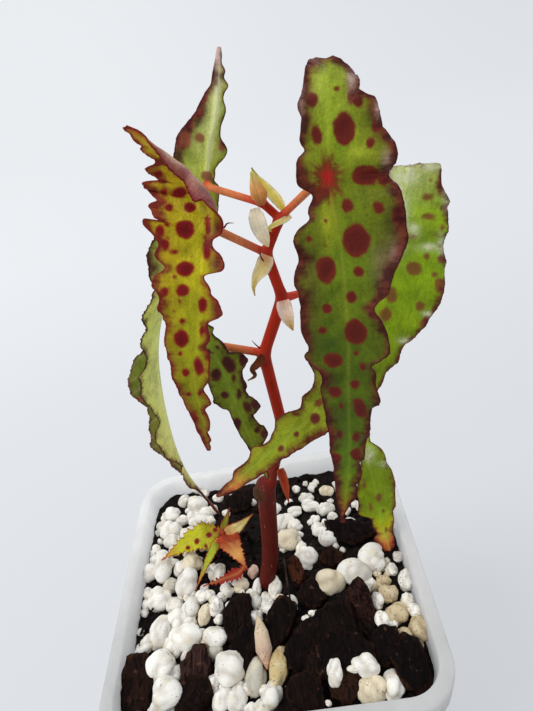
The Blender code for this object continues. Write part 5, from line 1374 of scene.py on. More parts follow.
def grown_together(parts):
    """The points and faces of one skin around overlapping bars, by a voxel remesh and a smoothing."""
    mesh = bpy.data.meshes.new("bars")
    points = np.vstack([part[0] for part in parts])
    mesh.from_pydata((points * MM).tolist(), [], joined_faces(parts))
    rough = bpy.data.objects.new("bars", mesh)
    bpy.context.scene.collection.objects.link(rough)
    remesh = rough.modifiers.new("skin", "REMESH")
    remesh.mode = "VOXEL"
    remesh.voxel_size = VOXEL
    smooth = rough.modifiers.new("smooth", "SMOOTH")
    smooth.iterations = 6
    evaluated = rough.evaluated_get(bpy.context.evaluated_depsgraph_get())
    skin = bpy.data.meshes.new_from_object(evaluated)
    places = np.empty(len(skin.vertices) * 3, np.float32)
    skin.vertices.foreach_get("co", places)
    polygons = [tuple(face.vertices) for face in skin.polygons]
    bpy.data.objects.remove(rough, do_unlink=True)
    return places.reshape(-1, 3).astype(float) / MM, polygons


BRISTLES = [
    [(8.3, -4.4, 162.9), (9.0, -5.0, 163.6), (9.9, -5.4, 163.6)],
    [(14.6, -3.2, 160.8), (15.0, -3.9, 160.3), (15.5, -4.2, 159.4)],
    [(9.6, -3.6, 141.0), (9.0, -4.0, 142.2), (8.6, -4.3, 143.2)],
    [(13.2, -3.2, 155.6), (12.7, -3.6, 157.2), (12.9, -3.8, 158.6)],
]
CANE = cane_material()
bars = stem_bars()
skin, skin_faces = grown_together([bar(points, radii, 60, 18) for points, radii, _ in bars])
add_piece("stem", skin, skin_faces, CANE, "cane", "stem", {"ground": nearest_colours(skin, bars)})
hairs = []
for path in BRISTLES:
    points, faces, _ = bar(path, [0.16, 0.10, 0.04], 12, 8)
    hairs.append((points, faces, {"ground": np.tile(srgb(NODE_RED), (len(points), 1))}))
add_joined("stem_bristles", hairs, CANE, "cane", "stem")

# %% [markdown]
# ## Papery stipules
# At each node a pair of scales once covered the next leaf. They are now thin, dry paper: cream,
# cupped and curled, with fine lines running to a brown tip. The same blade formula makes them,
# only thinner and without teeth.

# %% Stipules
PAPER_THICKNESS = 0.14


def paper_material(name, rough=0.55):
    """Thin paper: the piece's own tones, faint lines along its length and brown flecks at the rim."""
    material, tree, shader = new_material(name)
    place = object_place(tree)
    fine = noise(tree, place, 0.35, 4.0)
    clouds = compute(tree, "MULTIPLY_ADD", noise(tree, place, 1.3, 3.0), 0.5, 0.58)
    colour = shaded_ground(tree, compute(tree, "MULTIPLY_ADD", fine, 0.35, clouds))
    lines = field(tree, "vein")
    colour = blend_colours(tree, compute(tree, "MULTIPLY", lines, 0.14), colour, (150, 110, 60))
    edge = soft_step(tree, compute(tree, "MULTIPLY_ADD", fine, 0.5, field(tree, "rim")), 0.36, 0.2)
    colour = blend_colours(tree, compute(tree, "MULTIPLY", edge, 0.25), colour, (160, 112, 62))
    finish(tree, shader, colour, rough, 0.2, compute(tree, "ADD", fine, lines), 0.5, 0.00006)
    let_light_through(tree, shader, colour, 0.55)
    return material


def scale_blade(rib, facing, half_width, cup, tones, edge_tone, shape):
    """Points, faces and fields of one scale; tones are its colours from base to tip, paler at the edge."""
    length = run_line(rib, 2)[0][-1]
    last = len(shape) - 1
    margin = [(length * k / last, max(0.05, half_width * share)) for k, share in enumerate(shape)]
    spec = {"rib": rib, "facing": [facing] * len(rib), "bend": 1.0, "wave": 0.12, "pitch": 2.6,
            "teeth": 0.03, "attach": 0.0, "thickness": PAPER_THICKNESS, "quilt": 0.0, "keel": 0.1}
    for side in SIDES:
        spec[side] = margin
        spec["fold_" + side] = steady(cup)
        spec["band_" + side] = steady(0)
    points, faces, grids = blade_surface(spec, 72, 12)
    steps = np.linspace(0, length, len(tones))
    share = (grids["out"][..., None] ** 2) * 0.8
    colour = (1 - share) * tone(np.column_stack([steps, tones]), grids["along"]) + share * srgb(edge_tone)
    lines = np.clip(np.cos(grids["across"] / half_width * 14), 0, 1) ** 4
    fields = {"ground": colour, "vein": lines, "rim": grids["rim"]}
    return points, faces, {key: on_both_faces(grid) for key, grid in fields.items()}


# The cream and near-white tones are partly the dry paper's own colour and partly painted light shining
# through the scales from behind.
CREAM = (254, 248, 228)
LEMON = (244, 236, 140)
PALE_AND_BACKLIT_EDGE = (255, 252, 240)
STIPULES = {
    "stipule_top": ([(17.4, -1.9, 162.9), (16.6, -2.3, 164.8), (15.3, -2.3, 166.9), (14.2, -2.3, 168.7),
                     (13.8, -2.3, 170.0)], (0.1, -1, 0.2), 0.8, 24,
                    [(226, 216, 96), LEMON, (250, 242, 150), (236, 226, 120), (160, 156, 56)], PALE_AND_BACKLIT_EDGE,
                    [0.4, 0.85, 1.0, 1.0, 0.9, 0.7, 0.45, 0.08]),
    "stipule_side": ([(14.1, -3.0, 158.2), (13.6, -3.5, 160.4), (13.3, -3.8, 162.5), (13.2, -3.6, 164.6)],
                     (-0.1, -1, 0.1), 1.3, 22, [(248, 236, 196), CREAM, (255, 252, 236), CREAM], PALE_AND_BACKLIT_EDGE,
                     [0.08, 0.5, 0.75, 0.9, 1.0, 1.0, 0.9, 0.5]),
    "stipule_curled": ([(18.2, -2.8, 162.2), (17.0, -3.6, 162.0), (15.7, -4.0, 161.8), (14.8, -3.8, 161.3),
                        (14.9, -3.5, 160.6)], (0, -1, 0.6), 0.5, 60,
                       [(255, 248, 214), (248, 240, 170), (236, 228, 120), (226, 216, 100)],
                       (255, 250, 224), [0.6, 0.9, 1.0, 0.9, 0.8, 0.7, 0.5, 0.2]),
    "stipule_upper": ([(13.7, -3.0, 156.9), (12.8, -3.7, 155.5), (11.5, -4.0, 154.1), (10.7, -4.0, 152.5),
                       (10.6, -3.7, 150.9)], (-0.1, -1, 0.1), 1.35, 26,
                      [(240, 196, 150), (252, 236, 176), (250, 238, 180), (232, 214, 120), (200, 170, 90)],
                      PALE_AND_BACKLIT_EDGE, [0.75, 1.0, 0.95, 0.75, 0.5, 0.3, 0.16, 0.05]),
    "stipule_middle": ([(14.8, -3.0, 148.8), (14.9, -3.7, 147.3), (15.2, -3.9, 145.5), (15.6, -3.7, 143.4)],
                       (0.1, -1, 0.1), 1.3, 26,
                       [(248, 214, 196), (255, 240, 228), (255, 236, 216), (236, 206, 140), (200, 156, 80)],
                       (255, 246, 238), [0.8, 1.0, 1.0, 0.92, 0.78, 0.55, 0.34, 0.08]),
    "stipule_dry": ([(9.8, -3.0, 139.2), (8.8, -3.8, 138.4), (7.6, -4.2, 137.4), (7.8, -4.3, 136.2),
                     (6.4, -4.6, 135.6)],
                    (0.1, -1, 0.2), 0.85, 50, [(120, 50, 34), (140, 76, 44), (104, 60, 36), (176, 140, 70)],
                    (110, 56, 36), [0.6, 1.0, 0.9, 0.8, 0.5, 0.4, 0.25, 0.05]),
    "stipule_low": ([(8.2, -2.4, 111.8), (8.5, -3.1, 109.4), (8.6, -3.3, 106.2), (8.6, -3.5, 103.2)],
                    (0.4, -1, 0), 1.0, 36, [(170, 60, 40), (190, 66, 44), (196, 84, 54), (176, 60, 44)],
                    (196, 120, 70), [0.8, 1.0, 0.95, 0.85, 0.75, 0.5, 0.3, 0.05]),
}
PAPER = paper_material("papery_scale")
DRY = paper_material("dry_scale", 0.7)
for name, row in STIPULES.items():
    if name in ("stipule_dry", "stipule_low"):
        add_joined(name, [scale_blade(*row)], DRY, "dry_scale", name)
    else:
        add_joined(name, [scale_blade(*row)], PAPER, "papery_scale", name)

# %% [markdown]
# ## The growing tip
# Above the last leafstalk sits a closed bud: three scales wrapped round each other.

# %% Growing tip
BUD_PATH = [(14.25, -2.4, 165.2), (14.15, -3.0, 166.2), (13.95, -3.2, 167.5), (13.75, -3.1, 169.6)]
BUD_TONES = [(0, 220, 150, 96), (0.3, 240, 184, 110), (0.7, 250, 220, 150), (1, 240, 236, 160)]


def bud_part(push, spin, radii):
    """One wrapped scale of the bud: a bar flattened on one side and moved a little outwards."""
    points, faces, share = bar(BUD_PATH, radii, 40, 24)
    middle = through([0, 0.35, 0.7, 1.0], BUD_PATH, share)
    off = points - middle
    angle = np.arctan2(off[:, 1], off[:, 0])
    ridge = 1 + 0.12 * np.cos(angle * 2 + spin) + 0.05 * np.cos(angle * 9 + 4 * share)
    points = middle + off * ridge[:, None] + np.array(push)
    lines = np.clip(np.cos(angle * 9), 0, 1)
    return points, faces, {"ground": tone(BUD_TONES, share), "vein": lines, "rim": np.ones(len(share))}


tip_parts = [bud_part((0, 0, 0), 0.0, [0.75, 1.1, 0.8, 0.15]),
             bud_part((0.2, -0.2, -0.1), 2.0, [0.6, 0.9, 0.6, 0.15]),
             bud_part((-0.2, -0.1, -0.1), 4.0, [0.6, 0.85, 0.6, 0.12])]
add_joined("growing_tip", tip_parts, DRY, "dry_scale", "growing_tip")

# %% [markdown]
# ## The young shoot at the foot
# A second shoot has just opened at the edge of the mix: one broad leaf with red teeth, some
# narrow green ones, and two crumpled ones that are still red and glassy.

# %% Basal shoot
SHOOT_STUB = [(-11.6, 12.0, 68.0), (-11.4, 12.0, 74.0), (-11.2, 11.8, 79.6)]
SHOOT_STALK = [(-11.2, 11.6, 79.0), (-10.0, 9.0, 80.2), (-8.6, 7.2, 80.6)]
SHOOT_SPOTS = [(209, 535, 3, 3), (197, 542, 2.5, 3), (206, 546, 2, 2), (188, 548, 2, 2), (215, 530, 2, 2)]
SHOOT_LEAVES = [
    ([(-11.4, 11.8, 79.0), (-14.5, 10.7, 80.6), (-19, 9.3, 80.8), (-23, 7.7, 80.2), (-26.5, 6.2, 79.4)],
     (0, -0.4, 1), 4.2, 1.1, [(180, 140, 46), (200, 202, 46), (200, 198, 44), (206, 130, 48)], -0.2),
    ([(-11.3, 12.0, 79.0), (-10, 13.4, 81.6), (-8.2, 14.8, 84.6)],
     (0.2, -1, 0.3), 1.1, 0.15, [(170, 160, 60), (150, 164, 44), (126, 150, 40)], -0.9),
    ([(-11.0, 11.8, 79.0), (-7.0, 10.8, 81.6), (-2.4, 12.2, 84.0)],
     (0, -1, 0.6), 1.8, 0.1, [(206, 150, 84), (226, 214, 150), (214, 206, 112)], -0.9),
    ([(-11.4, 11.6, 79.0), (-12.8, 6.6, 80.6), (-15.2, 1.2, 80.0), (-17.4, -3.2, 78.6)],
     (0, -0.3, 1), 1.4, 0.25, [(206, 150, 60), (170, 184, 46), (150, 176, 40), (226, 150, 56)], -0.7),
    ([(-11.0, 11.6, 79.0), (-8.6, 6.6, 80.9), (-6.4, 2.6, 80.6), (-4.6, -0.6, 79.8)],
     (0.3, -0.4, 1), 3.3, 0.6, [(196, 76, 48), (180, 72, 44), (216, 160, 90), (190, 60, 40)], -0.5),
    ([(-5.2, 0.6, 80.1), (-6.6, -0.8, 79.9), (-10.4, -1.8, 79.6), (-15.6, -2.5, 78.9)],
     (0, -0.5, 1), 1.8, 0.9, [(172, 60, 42), (160, 42, 36), (150, 34, 32), (200, 110, 62)], -0.4),
]
SHOOT_BAR_TONES = [(0, 150, 60, 44), (1, 176, 78, 54)]
YOUNG_SHAPE = [0.35, 0.75, 1.0, 0.95, 0.8, 0.62, 0.42, 0.2, 0.03]


def coarse_teeth(steps, length, half_width, tooth, seed):
    """Half widths of a young leaf with pointed teeth, as (distance, width) rows."""
    base = np.interp(steps / length, np.linspace(0, 1, len(YOUNG_SHAPE)), YOUNG_SHAPE) * half_width
    count = steps / 1.15 + 0.35 * sway(steps * 1.1, seed)
    width = base - tooth * (1 - (count % 1.0) ** 1.4) * np.clip(base / half_width + 0.3, 0, 1)
    return np.column_stack([steps, np.maximum(width, 0.1)])


def shoot_part(rib, facing, half_width, tooth, tones, band, seed):
    """One young leaf: the blade formula with coarse, pointed teeth and a red rim."""
    length = run_line(rib, 2)[0][-1]
    steps = np.linspace(0, length, 90)
    spec = {"rib": rib, "facing": [facing] * len(rib), "wave": 0.45, "pitch": 3.6, "teeth": 0.12,
            "attach": 0.0, "thickness": 0.26, "keel": 0.25}
    for turn, side in enumerate(SIDES):
        spec[side] = coarse_teeth(steps, length, half_width, tooth, seed + turn)
        spec["fold_" + side] = steady(16)
        spec["band_" + side] = steady(band)
    points, faces, grids = blade_surface(spec, 130, 10)
    rows = np.column_stack([np.linspace(0, length, len(tones)), tones])
    grids["ground"] = tone(rows, grids["along"])
    grids["star"] = grids["bloom"] = np.zeros(grids["across"].shape)
    grids["spot"] = spot_field({"spots": SHOOT_SPOTS if half_width > 3 else ()}, grids)
    fields = {key: on_both_faces(grids[key]) for key in ("ground", *MARKING_FIELDS)}
    fields["under"] = np.repeat([0.0, 1.0], len(points) // 2)
    fields["run"] = run_place(grids)
    return points, faces, fields


def shoot_bars():
    """The two bare stalks; the thin one takes the fields of the first points of the thick one."""
    stub, stub_faces, share = bar(SHOOT_STUB, [0.9, 1.0, 0.9], 24, 16)
    fields = {"ground": tone(SHOOT_BAR_TONES, share), "run": stub}
    fields.update({key: np.full(len(share), FAR) for key in ("rim", "edge", "spot")})
    fields.update({key: np.zeros(len(share)) for key in ("vein", "star", "bloom", "under")})
    stalk, stalk_faces, _ = bar(SHOOT_STALK, [0.5, 0.45, 0.4], 20, 12)
    first = {key: values[:len(stalk)] for key, values in fields.items()}
    return [(stub, stub_faces, fields), (stalk, stalk_faces, first)]


YOUNG_LEAF = leaf_material("young_leaf", {
    "colours": {"Spot": (150, 40, 34), "Core": (120, 30, 30), "Margin": (168, 56, 38),
                "Edge": (168, 56, 38), "Vein": (206, 180, 96), "Star": (150, 34, 30),
                "Bloom": (206, 180, 96)},
    "faint": 0.2, "vein_share": 0.3, "glow": 0.35})
shoot_leaves = [shoot_part(*row, seed) for seed, row in enumerate(SHOOT_LEAVES)]
add_joined("basal_shoot", shoot_leaves + shoot_bars(), YOUNG_LEAF, "young_leaf", "basal_shoot")

# %% [markdown]
# ## The pot
# A square nursery pot of frosted, milky plastic, moulded in one piece: a tapered wall, a stepped
# lip round the top and four drain holes. One quarter is worked out and mirrored twice. Its wall
# is a stack of rounded squares, and its floor is a fan of strips from the hole to the wall.

# %% Pot
WALL = 1.0
FOOT_HALF = 25.0
TOP_HALF = 33.25
POT_HEIGHT = 80.0
QUARTER_STRAIGHT = 14
QUARTER_CORNER = 14
AXIS_STEPS = 11
DRAIN = (16.0, 16.0, 3.0)
FLOOR = 1.5


def body_half(height):
    """Half the width of the tapered wall at a height."""
    return FOOT_HALF + (TOP_HALF - FOOT_HALF) * height / POT_HEIGHT


def body_corner(height):
    """Radius of the wall's corners at a height."""
    return 5.0 + 3.0 * height / POT_HEIGHT


def quarter_ring(half, corner, height):
    """A quarter of a rounded square, from the middle of the +X side to the middle of the +Y side."""
    straight = np.linspace(0, half - corner, QUARTER_STRAIGHT, endpoint=False)
    turn = np.linspace(0, np.pi / 2, QUARTER_CORNER)
    arc = (half - corner) + corner * np.column_stack([np.cos(turn), np.sin(turn)])
    first = np.column_stack([np.full(QUARTER_STRAIGHT, half), straight])
    ring = np.vstack([first, arc, first[::-1, ::-1]])
    return np.column_stack([ring, np.full(len(ring), height)])


def pot_profile():
    """(half width, corner radius, height) of every ring: up outside, over the lip and down inside."""
    rows = [(FOOT_HALF - 0.5, 4.5, 0.0), (FOOT_HALF - 0.12, 4.9, 0.15)]
    rows += [(body_half(z), body_corner(z), z) for z in (0.5, *np.linspace(4, 72.6, 26))]
    rows += [(body_half(73) + 0.15, 8.0, 72.9), (34.3, 8.7, 73.0), (34.55, 8.9, 73.1), (34.62, 9.0, 73.4)]
    rows += [(34.62 + 0.36 * t, 9.0, 73.4 + 5.8 * t) for t in (0.5, 1.0)]
    rows += [(34.93, 8.95, 79.6), (34.75, 8.8, 79.88), (34.4, 8.5, 80.0), (33.4, 7.8, 80.0)]
    rows += [(32.65, 7.3, 79.98), (32.38, 7.1, 79.85), (32.25, 7.0, 79.5)]
    rows += [(body_half(z) - WALL, body_corner(z) - WALL, z) for z in np.linspace(78.5, 2.6, 28)]
    inner = body_half(2) - WALL
    return rows + [(inner - 0.1, 4.0, 1.9), (inner - 0.4, 3.8, 1.6), (inner - 0.9, 3.6, FLOOR)]


def floor_patch(ring, height):
    """Rings of points from the drain hole's edge to the quarter's outline, and back along both axes."""
    back = np.linspace(1, 0, AXIS_STEPS + 1)[1:]
    along_y = np.column_stack([np.zeros(AXIS_STEPS), ring[-1, 1] * back])
    along_x = np.column_stack([ring[0, 0] * back[::-1][1:], np.zeros(AXIS_STEPS - 1)])
    outline = np.vstack([ring[:, :2], along_y, along_x])
    away = outline - DRAIN[:2]
    edge = np.array(DRAIN[:2]) + DRAIN[2] * unit(away)
    steps = np.array([0.0, 0.04, 0.2, 0.45, 0.72, 1.0])[:, None, None]
    flat = edge[None] * (1 - steps) + outline[None] * steps
    return np.dstack([flat, np.full(flat.shape[:2], height)])


def make_pot():
    """Wall, both faces of the floor and the edge of the drain hole, for each of the four quarters."""
    rings = np.array([quarter_ring(*row) for row in pot_profile()])
    below, above = floor_patch(rings[0], 0.0), floor_patch(rings[-1], FLOOR)
    around = below.shape[1]
    floor_faces = grid_quads(len(below), around, closed=True)
    sheets = [(rings, grid_quads(*rings.shape[:2])), (below, floor_faces), (above, floor_faces),
              (np.array([below[0], above[0]]), grid_quads(2, around, closed=True))]
    points, faces, offset = [], [], 0
    for flip_x, flip_y in ((1, 1), (-1, 1), (-1, -1), (1, -1)):
        for sheet, quads in sheets:
            points.append(sheet.reshape(-1, 3) * (flip_x, flip_y, 1))
            faces.append(quads[:, ::flip_x * flip_y] + offset)
            offset += len(points[-1])
    return np.vstack(points), np.vstack(faces).tolist()


def weld(points, faces):
    """Points that fall on one place become one, so that mirrored quarters share their seams."""
    _, index, back = np.unique(np.round(points, 4), axis=0, return_index=True, return_inverse=True)
    back = back.reshape(-1)
    merged = [tuple(dict.fromkeys(int(back[k]) for k in face)) for face in faces]
    return points[index], [face for face in merged if len(face) > 2]


def pot_material():
    """Milky polypropylene: clouded, a little streaky down the wall, with light coming through, and painted
    light that makes the back half whiter.
    """
    material, tree, shader = new_material("pot_plastic")
    place = object_place(tree)
    streaks = noise(tree, stretched_place(tree, place, (1.0, 1.0, 0.06)), 5.0, 3.0)
    clouds = compute(tree, "MULTIPLY_ADD", noise(tree, place, 9.0, 2.0), 0.3, -0.1)
    share = compute(tree, "MULTIPLY_ADD", streaks, 0.4, clouds)
    # Painted light: the back half of the pot is painted whiter than the front.
    painted_light_to_back = soft_step(tree, part_of_place(tree, place, "Y"), -0.03, 0.03)
    share = compute(tree, "ADD", share, compute(tree, "MULTIPLY", painted_light_to_back, 0.5))
    colour = blend_colours(tree, share, (206, 206, 206), (255, 255, 255))
    finish(tree, shader, colour, 0.38, 0.3, noise(tree, place, 0.5, 3.0), 0.25, 0.0001)
    fill(tree, shader, {"Subsurface Weight": 0.7, "Subsurface Radius": (0.003, 0.003, 0.003),
                        "Subsurface Scale": 1.0})
    let_light_through(tree, shader, colour, 0.55)
    return material


add_piece("pot", *weld(*make_pot()), pot_material(), "pot_plastic", "pot")

# %% [markdown]
# ## The potting mix
# Dark bark compost fills the pot to about five millimetres below the rim. Its top is a height
# field: broad swells, rounded crumbs and fine grit added together. It closes down the wall and
# under the mix, so that it is a solid body.

# %% Potting mix
SOIL_LEVEL = 75.0
ROOM = 1.3


def wavy(points, size, seed, terms=7):
    """Smooth noise from -1 to 1: the mean of sines along random directions, 2 pi / size apart."""
    draw = np.random.default_rng(seed)
    direction = unit(draw.normal(size=(terms, points.shape[-1])))
    stretch = 2 * np.pi / size * draw.uniform(0.7, 1.4, terms)
    start = draw.uniform(0, 2 * np.pi, terms)
    return np.sin(points @ (direction * stretch[:, None]).T + start).mean(axis=-1) * 1.7


def soil_height(x, y):
    """Height of the mix: swells of 9 mm, billows of 5.2 and 2.4 mm, and grit of 1.1 mm."""
    flat = np.stack([x, y], axis=-1)
    height = SOIL_LEVEL + 0.35 * wavy(flat, 9.0, 1)
    height = height + 0.75 * np.abs(wavy(flat, 5.2, 2)) + 0.4 * np.abs(wavy(flat, 2.4, 3))
    return height + 0.16 * np.abs(wavy(flat, 1.1, 4)) - 0.3


def full_ring(half, corner, height):
    """All four quarters of a rounded square, each point once."""
    quarter = quarter_ring(half, corner, height)[:-1]
    turns = [np.array([[c, s, 0], [-s, c, 0], [0, 0, 1]]) for c, s in ((1, 0), (0, 1), (-1, 0), (0, -1))]
    return np.vstack([quarter @ turn for turn in turns])


def soil_ring(height):
    """The edge of the mix at a height, just inside the wall."""
    return full_ring(body_half(height) - ROOM, body_corner(height) - ROOM, height)


def dense(ring, count):
    """The ring sampled again at equal distances."""
    loop = np.vstack([ring, ring[:1]])
    length = np.r_[0, np.cumsum(np.linalg.norm(np.diff(loop, axis=0), axis=1))]
    at = np.linspace(0, length[-1], count, endpoint=False)
    return np.column_stack([np.interp(at, length, loop[:, k]) for k in range(3)])


def soil_mesh(count=480, rows=96):
    """Rings from the middle to the wall, then down the wall, then in to the middle of the bottom."""
    rim = dense(soil_ring(SOIL_LEVEL), count)
    share = (np.arange(1, rows + 1) / rows)[:, None]
    x, y = rim[:, 0] * share, rim[:, 1] * share
    top = np.dstack([x, y, soil_height(x, y)])
    down = np.array([dense(soil_ring(z), count) for z in (74.0, 60.0, 40.0, 20.0, 1.8)])
    under = down[-1][None] * np.array([0.6, 0.2])[:, None, None] * (1, 1, 0) + (0, 0, 1.8)
    sheet = np.concatenate([top, down, under])
    points = np.vstack([sheet.reshape(-1, 3), [[0, 0, soil_height(0.0, 0.0)], [0, 0, 1.8]]])
    return points, capped_rings(len(sheet), count)


def mix_material():
    """Dark, damp compost in near-black and brown patches, with pale grit; the near-black is partly painted
    shade between the crumbs.
    """
    material, tree, shader = new_material("dark_mix")
    place = object_place(tree)
    coarse, fine = noise(tree, place, 2.6, 5.0), noise(tree, place, 0.35, 5.0)
    # Painted shade: the near-black colour is partly the compost's own and partly the shade between the
    # crumbs.
    colour = blend_colours(tree, soft_step(tree, coarse, 0.35, 0.72), (9, 7, 8), (34, 23, 19))
    colour = blend_colours(tree, soft_step(tree, fine, 0.55, 0.8), colour, (56, 42, 34))
    grit = soft_step(tree, cells(tree, place, 900.0), 0.12, 0.05)
    pale = compute(tree, "MULTIPLY", grit, soft_step(tree, coarse, 0.5, 0.62))
    colour = blend_colours(tree, pale, colour, (176, 164, 146))
    finish(tree, shader, colour, 0.9, 0.15, fine, 0.9, 0.0004)
    return material


add_piece("potting_mix", *soil_mesh(), mix_material(), "dark_mix", "potting_mix")

# %% [markdown]
# ## Perlite and pumice
# Perlite is volcanic glass popped by heat, so each grain is a white, rounded, lumpy ball. The
# grains that can be seen are placed by their pixel; others are drawn at random between and below
# them, where leaves hide the mix or one grain covers the next. Each is a ball whose radius swells
# and folds with the billows of a noise.

# %% Stones
WHITE = (240, 238, 232)
CREAMY = (226, 214, 188)
GREYISH = (196, 192, 180)
TAN = (204, 186, 150)
# Painted shade: the colour that grains darken towards in their folds.
CREVICE_SHADE = (150, 120, 84)


def ball(rows, columns):
    """Directions and faces of a ball of rings between two poles."""
    tilt = np.linspace(0, np.pi, rows + 2)[1:-1, None]
    turn = np.linspace(0, 2 * np.pi, columns, endpoint=False)[None, :]
    axes = np.broadcast_arrays(np.sin(tilt) * np.cos(turn), np.sin(tilt) * np.sin(turn), np.cos(tilt))
    points = np.vstack([np.stack(axes, -1).reshape(-1, 3), [[0, 0, 1], [0, 0, -1]]])
    return points, capped_rings(rows, columns)


BALLS = {"flake": ball(24, 36), "fine": ball(18, 26), "plain": ball(11, 15), "coarse": ball(5, 8)}


def stone_part(place, radii, spin, seed, colour, rough=0.28, form="fine"):
    """One grain: direction * (1 + rough * billows), stretched by its radii, turned about Z, with painted
    shade in its folds.
    """
    directions, faces = BALLS[form]
    billow = np.abs(wavy(directions, 2.4, seed)) + 0.45 * np.abs(wavy(directions, 1.1, seed + 1))
    low = wavy(directions, 4.0, seed + 2)
    swell = 1 + rough * (billow - 0.62) + 0.15 * low
    # Painted shade: the colour darkens in the folds between the billows.
    crevice_shade = np.clip((0.62 - billow) * 1.6, 0, 1)[:, None]
    points = directions * swell[:, None] * radii
    points = points @ about_z(spin) + place
    draw = np.random.default_rng(seed)
    tint = np.clip(srgb(colour) * draw.uniform(0.88, 1.05), 0, 0.94)
    dirt = np.full(len(points), draw.uniform(0, 1))
    ground = tint * (1 - 0.45 * crevice_shade * (1 - srgb(CREVICE_SHADE)))
    return points, faces, {"ground": ground, "dirt": dirt}


STONE_FILL = 1.08
STONE_LEVEL = 76.2
LOWEST_MIDDLE = 75.6
STONE_TOP = 79.85


def seen_stone(mark, seed, colour):
    """The grain that the photo shows at a pixel, lying on the mix, as large as it looks there."""
    px, py, half_wide, half_high = mark[:4]
    lift = mark[4] if len(mark) > 4 else 0.0
    place, depth = at_height(px, py, STONE_LEVEL + lift)
    scale = STONE_FILL * depth / FOCAL_PIXELS
    wide, deep = half_wide * scale, half_high * scale
    high = 0.5 * (min(wide, deep) + math.sqrt(wide * deep)) * 0.86
    across = at_height(px + 1, py, STONE_LEVEL)[0] - at_height(px, py, STONE_LEVEL)[0]
    spin = math.atan2(across[1], across[0])
    place[2] = max(float(soil_height(*place[:2])) + 0.42 * high + lift, LOWEST_MIDDLE)
    place[2] = min(place[2], STONE_TOP - high)
    form = "fine" if max(wide, deep) > 1.0 else "plain"
    return stone_part(place, np.array([wide, deep, high]), spin, seed, colour, form=form)


LEFT_WHITE = [
    (173, 514, 7, 7), (184, 500, 6, 6), (197, 504, 9, 8), (204, 516, 8, 7), (163, 526, 6, 6),
    (173, 530, 10, 9), (182, 520, 7, 6), (189, 534, 8, 8), (171, 540, 8, 7), (175, 548, 7, 7),
    (163, 559, 9, 9), (150, 572, 9, 9), (164, 570, 9, 14), (180, 568, 7, 7), (186, 585, 10, 12),
    (159, 600, 12, 12), (174, 604, 8, 8), (178, 618, 10, 12), (191, 608, 8, 11), (161, 632, 9, 16),
    (186, 640, 15, 12), (173, 647, 7, 7), (147, 644, 7, 10), (161, 669, 16, 15), (167, 697, 15, 16),
    (216, 606, 7, 10), (219, 619, 5, 5), (215, 636, 13, 10), (202, 597, 6, 6), (228, 590, 6, 6),
    (221, 595, 5, 5), (229, 603, 4, 4), (242, 598, 4, 4), (254, 600, 8, 9), (264, 598, 4, 7),
    (274, 588, 5.5, 12), (257, 587, 4, 9), (270, 608, 10, 4), (252, 617, 8, 7), (219, 572, 6, 9),
    (232, 497, 4, 4), (234, 506, 4, 4), (240, 500, 4, 4), (226, 512, 4, 4), (213, 508, 5, 5),
    (218, 498, 5, 4), (205, 492, 5, 4), (196, 490, 5, 4),
]
LEFT_CREAM = [(193, 565, 9, 9), (205, 614, 6, 11), (205, 642, 6, 9), (241, 584, 7, 8), (281, 600, 6, 6)]
LEFT_GREY = [(170, 586, 7, 7), (215, 650, 9, 8)]
LEFT_PINK = [(253, 571, 5, 7)]
FRONT_WHITE = [
    (230, 670, 17, 16), (213, 682, 6, 7), (222, 698, 10, 12), (238, 698, 9, 15), (204, 691, 4, 5),
    (223, 687, 5, 5), (271, 695, 10, 13), (292, 660, 4, 4), (247, 690, 5, 6), (262, 706, 8, 8),
    (250, 712, 8, 8),
]
FRONT_GREY = [(256, 678, 9, 16)]
LOOSE_WHITE = [
    (296, 488, 4, 4), (305, 483, 2.5, 2.5), (307, 498, 6, 6), (310, 505, 8, 6), (295, 511, 6, 4.5),
    (282, 522, 7.5, 10), (294, 525, 7, 6), (301, 533, 2.5, 2.5), (315, 518, 4.5, 4.5), (310, 521, 3, 3),
    (324, 521, 3, 3), (336, 521, 5, 7), (348, 523, 7, 6), (355, 504, 4, 6), (358, 522, 3, 3),
    (363, 530, 8, 4), (328, 538, 9, 7), (336, 545, 3.5, 3.5), (342, 548, 3, 3), (300, 546, 4.5, 7),
    (305, 558, 10, 10), (373, 561, 13, 14), (357, 574, 15, 13), (369, 584, 6, 8), (396, 527, 2.5, 2.5),
    (367, 663, 12, 11, 2.4), (335, 672, 7.5, 13, 2.4), (392, 684, 10, 14), (328, 700, 3, 3, 2),
    (304, 494, 3, 3), (330, 500, 3, 3), (301, 636, 2.5, 5, 1.6), (302, 626, 2.5, 5, 1.6),
    (306, 617, 4, 3.5, 1.6), (314, 612, 5, 3, 1.6), (323, 610, 5, 2.5, 1.6), (353, 668, 7, 3.5, 2.4),
]
LOOSE_CREAM = [(327, 490, 7, 6), (287, 539, 10, 11), (329, 582, 14.5, 11.5), (372, 688, 16, 13)]
RIGHT_WHITE = [
    (391, 568, 5.5, 6), (398, 556, 5, 5), (406, 578, 7.5, 12), (378, 600, 6, 9), (416, 611, 7.5, 7.5),
    (382, 619, 6.5, 10), (393, 623, 4.5, 4.5), (408, 599, 7, 8), (386, 560, 4, 4),
]
RIGHT_TAN = [
    (383, 579, 7.5, 5.5), (388, 594, 9.5, 9.5), (397, 612, 11.5, 10), (419, 628, 10, 12), (404, 637, 9, 12),
    (418, 644, 6, 5),
]
LEFT_BANK = [(-31.5, 26), (-14, 27), (-15, 19), (-16, 13), (-15, 7), (-10, 3), (-5.5, -3), (-2, -5.4),
             (4.5, -6), (5, -9.5), (-3, -11.5), (-9, -9), (-11.5, -14), (-18, -17.5), (-19.5, -29),
             (-26.4, -29), (-28, -19), (-31.5, -14)]
FRONT_BANK = [(-13, -21), (-7, -18.5), (0, -25), (0, -29), (-13, -29)]
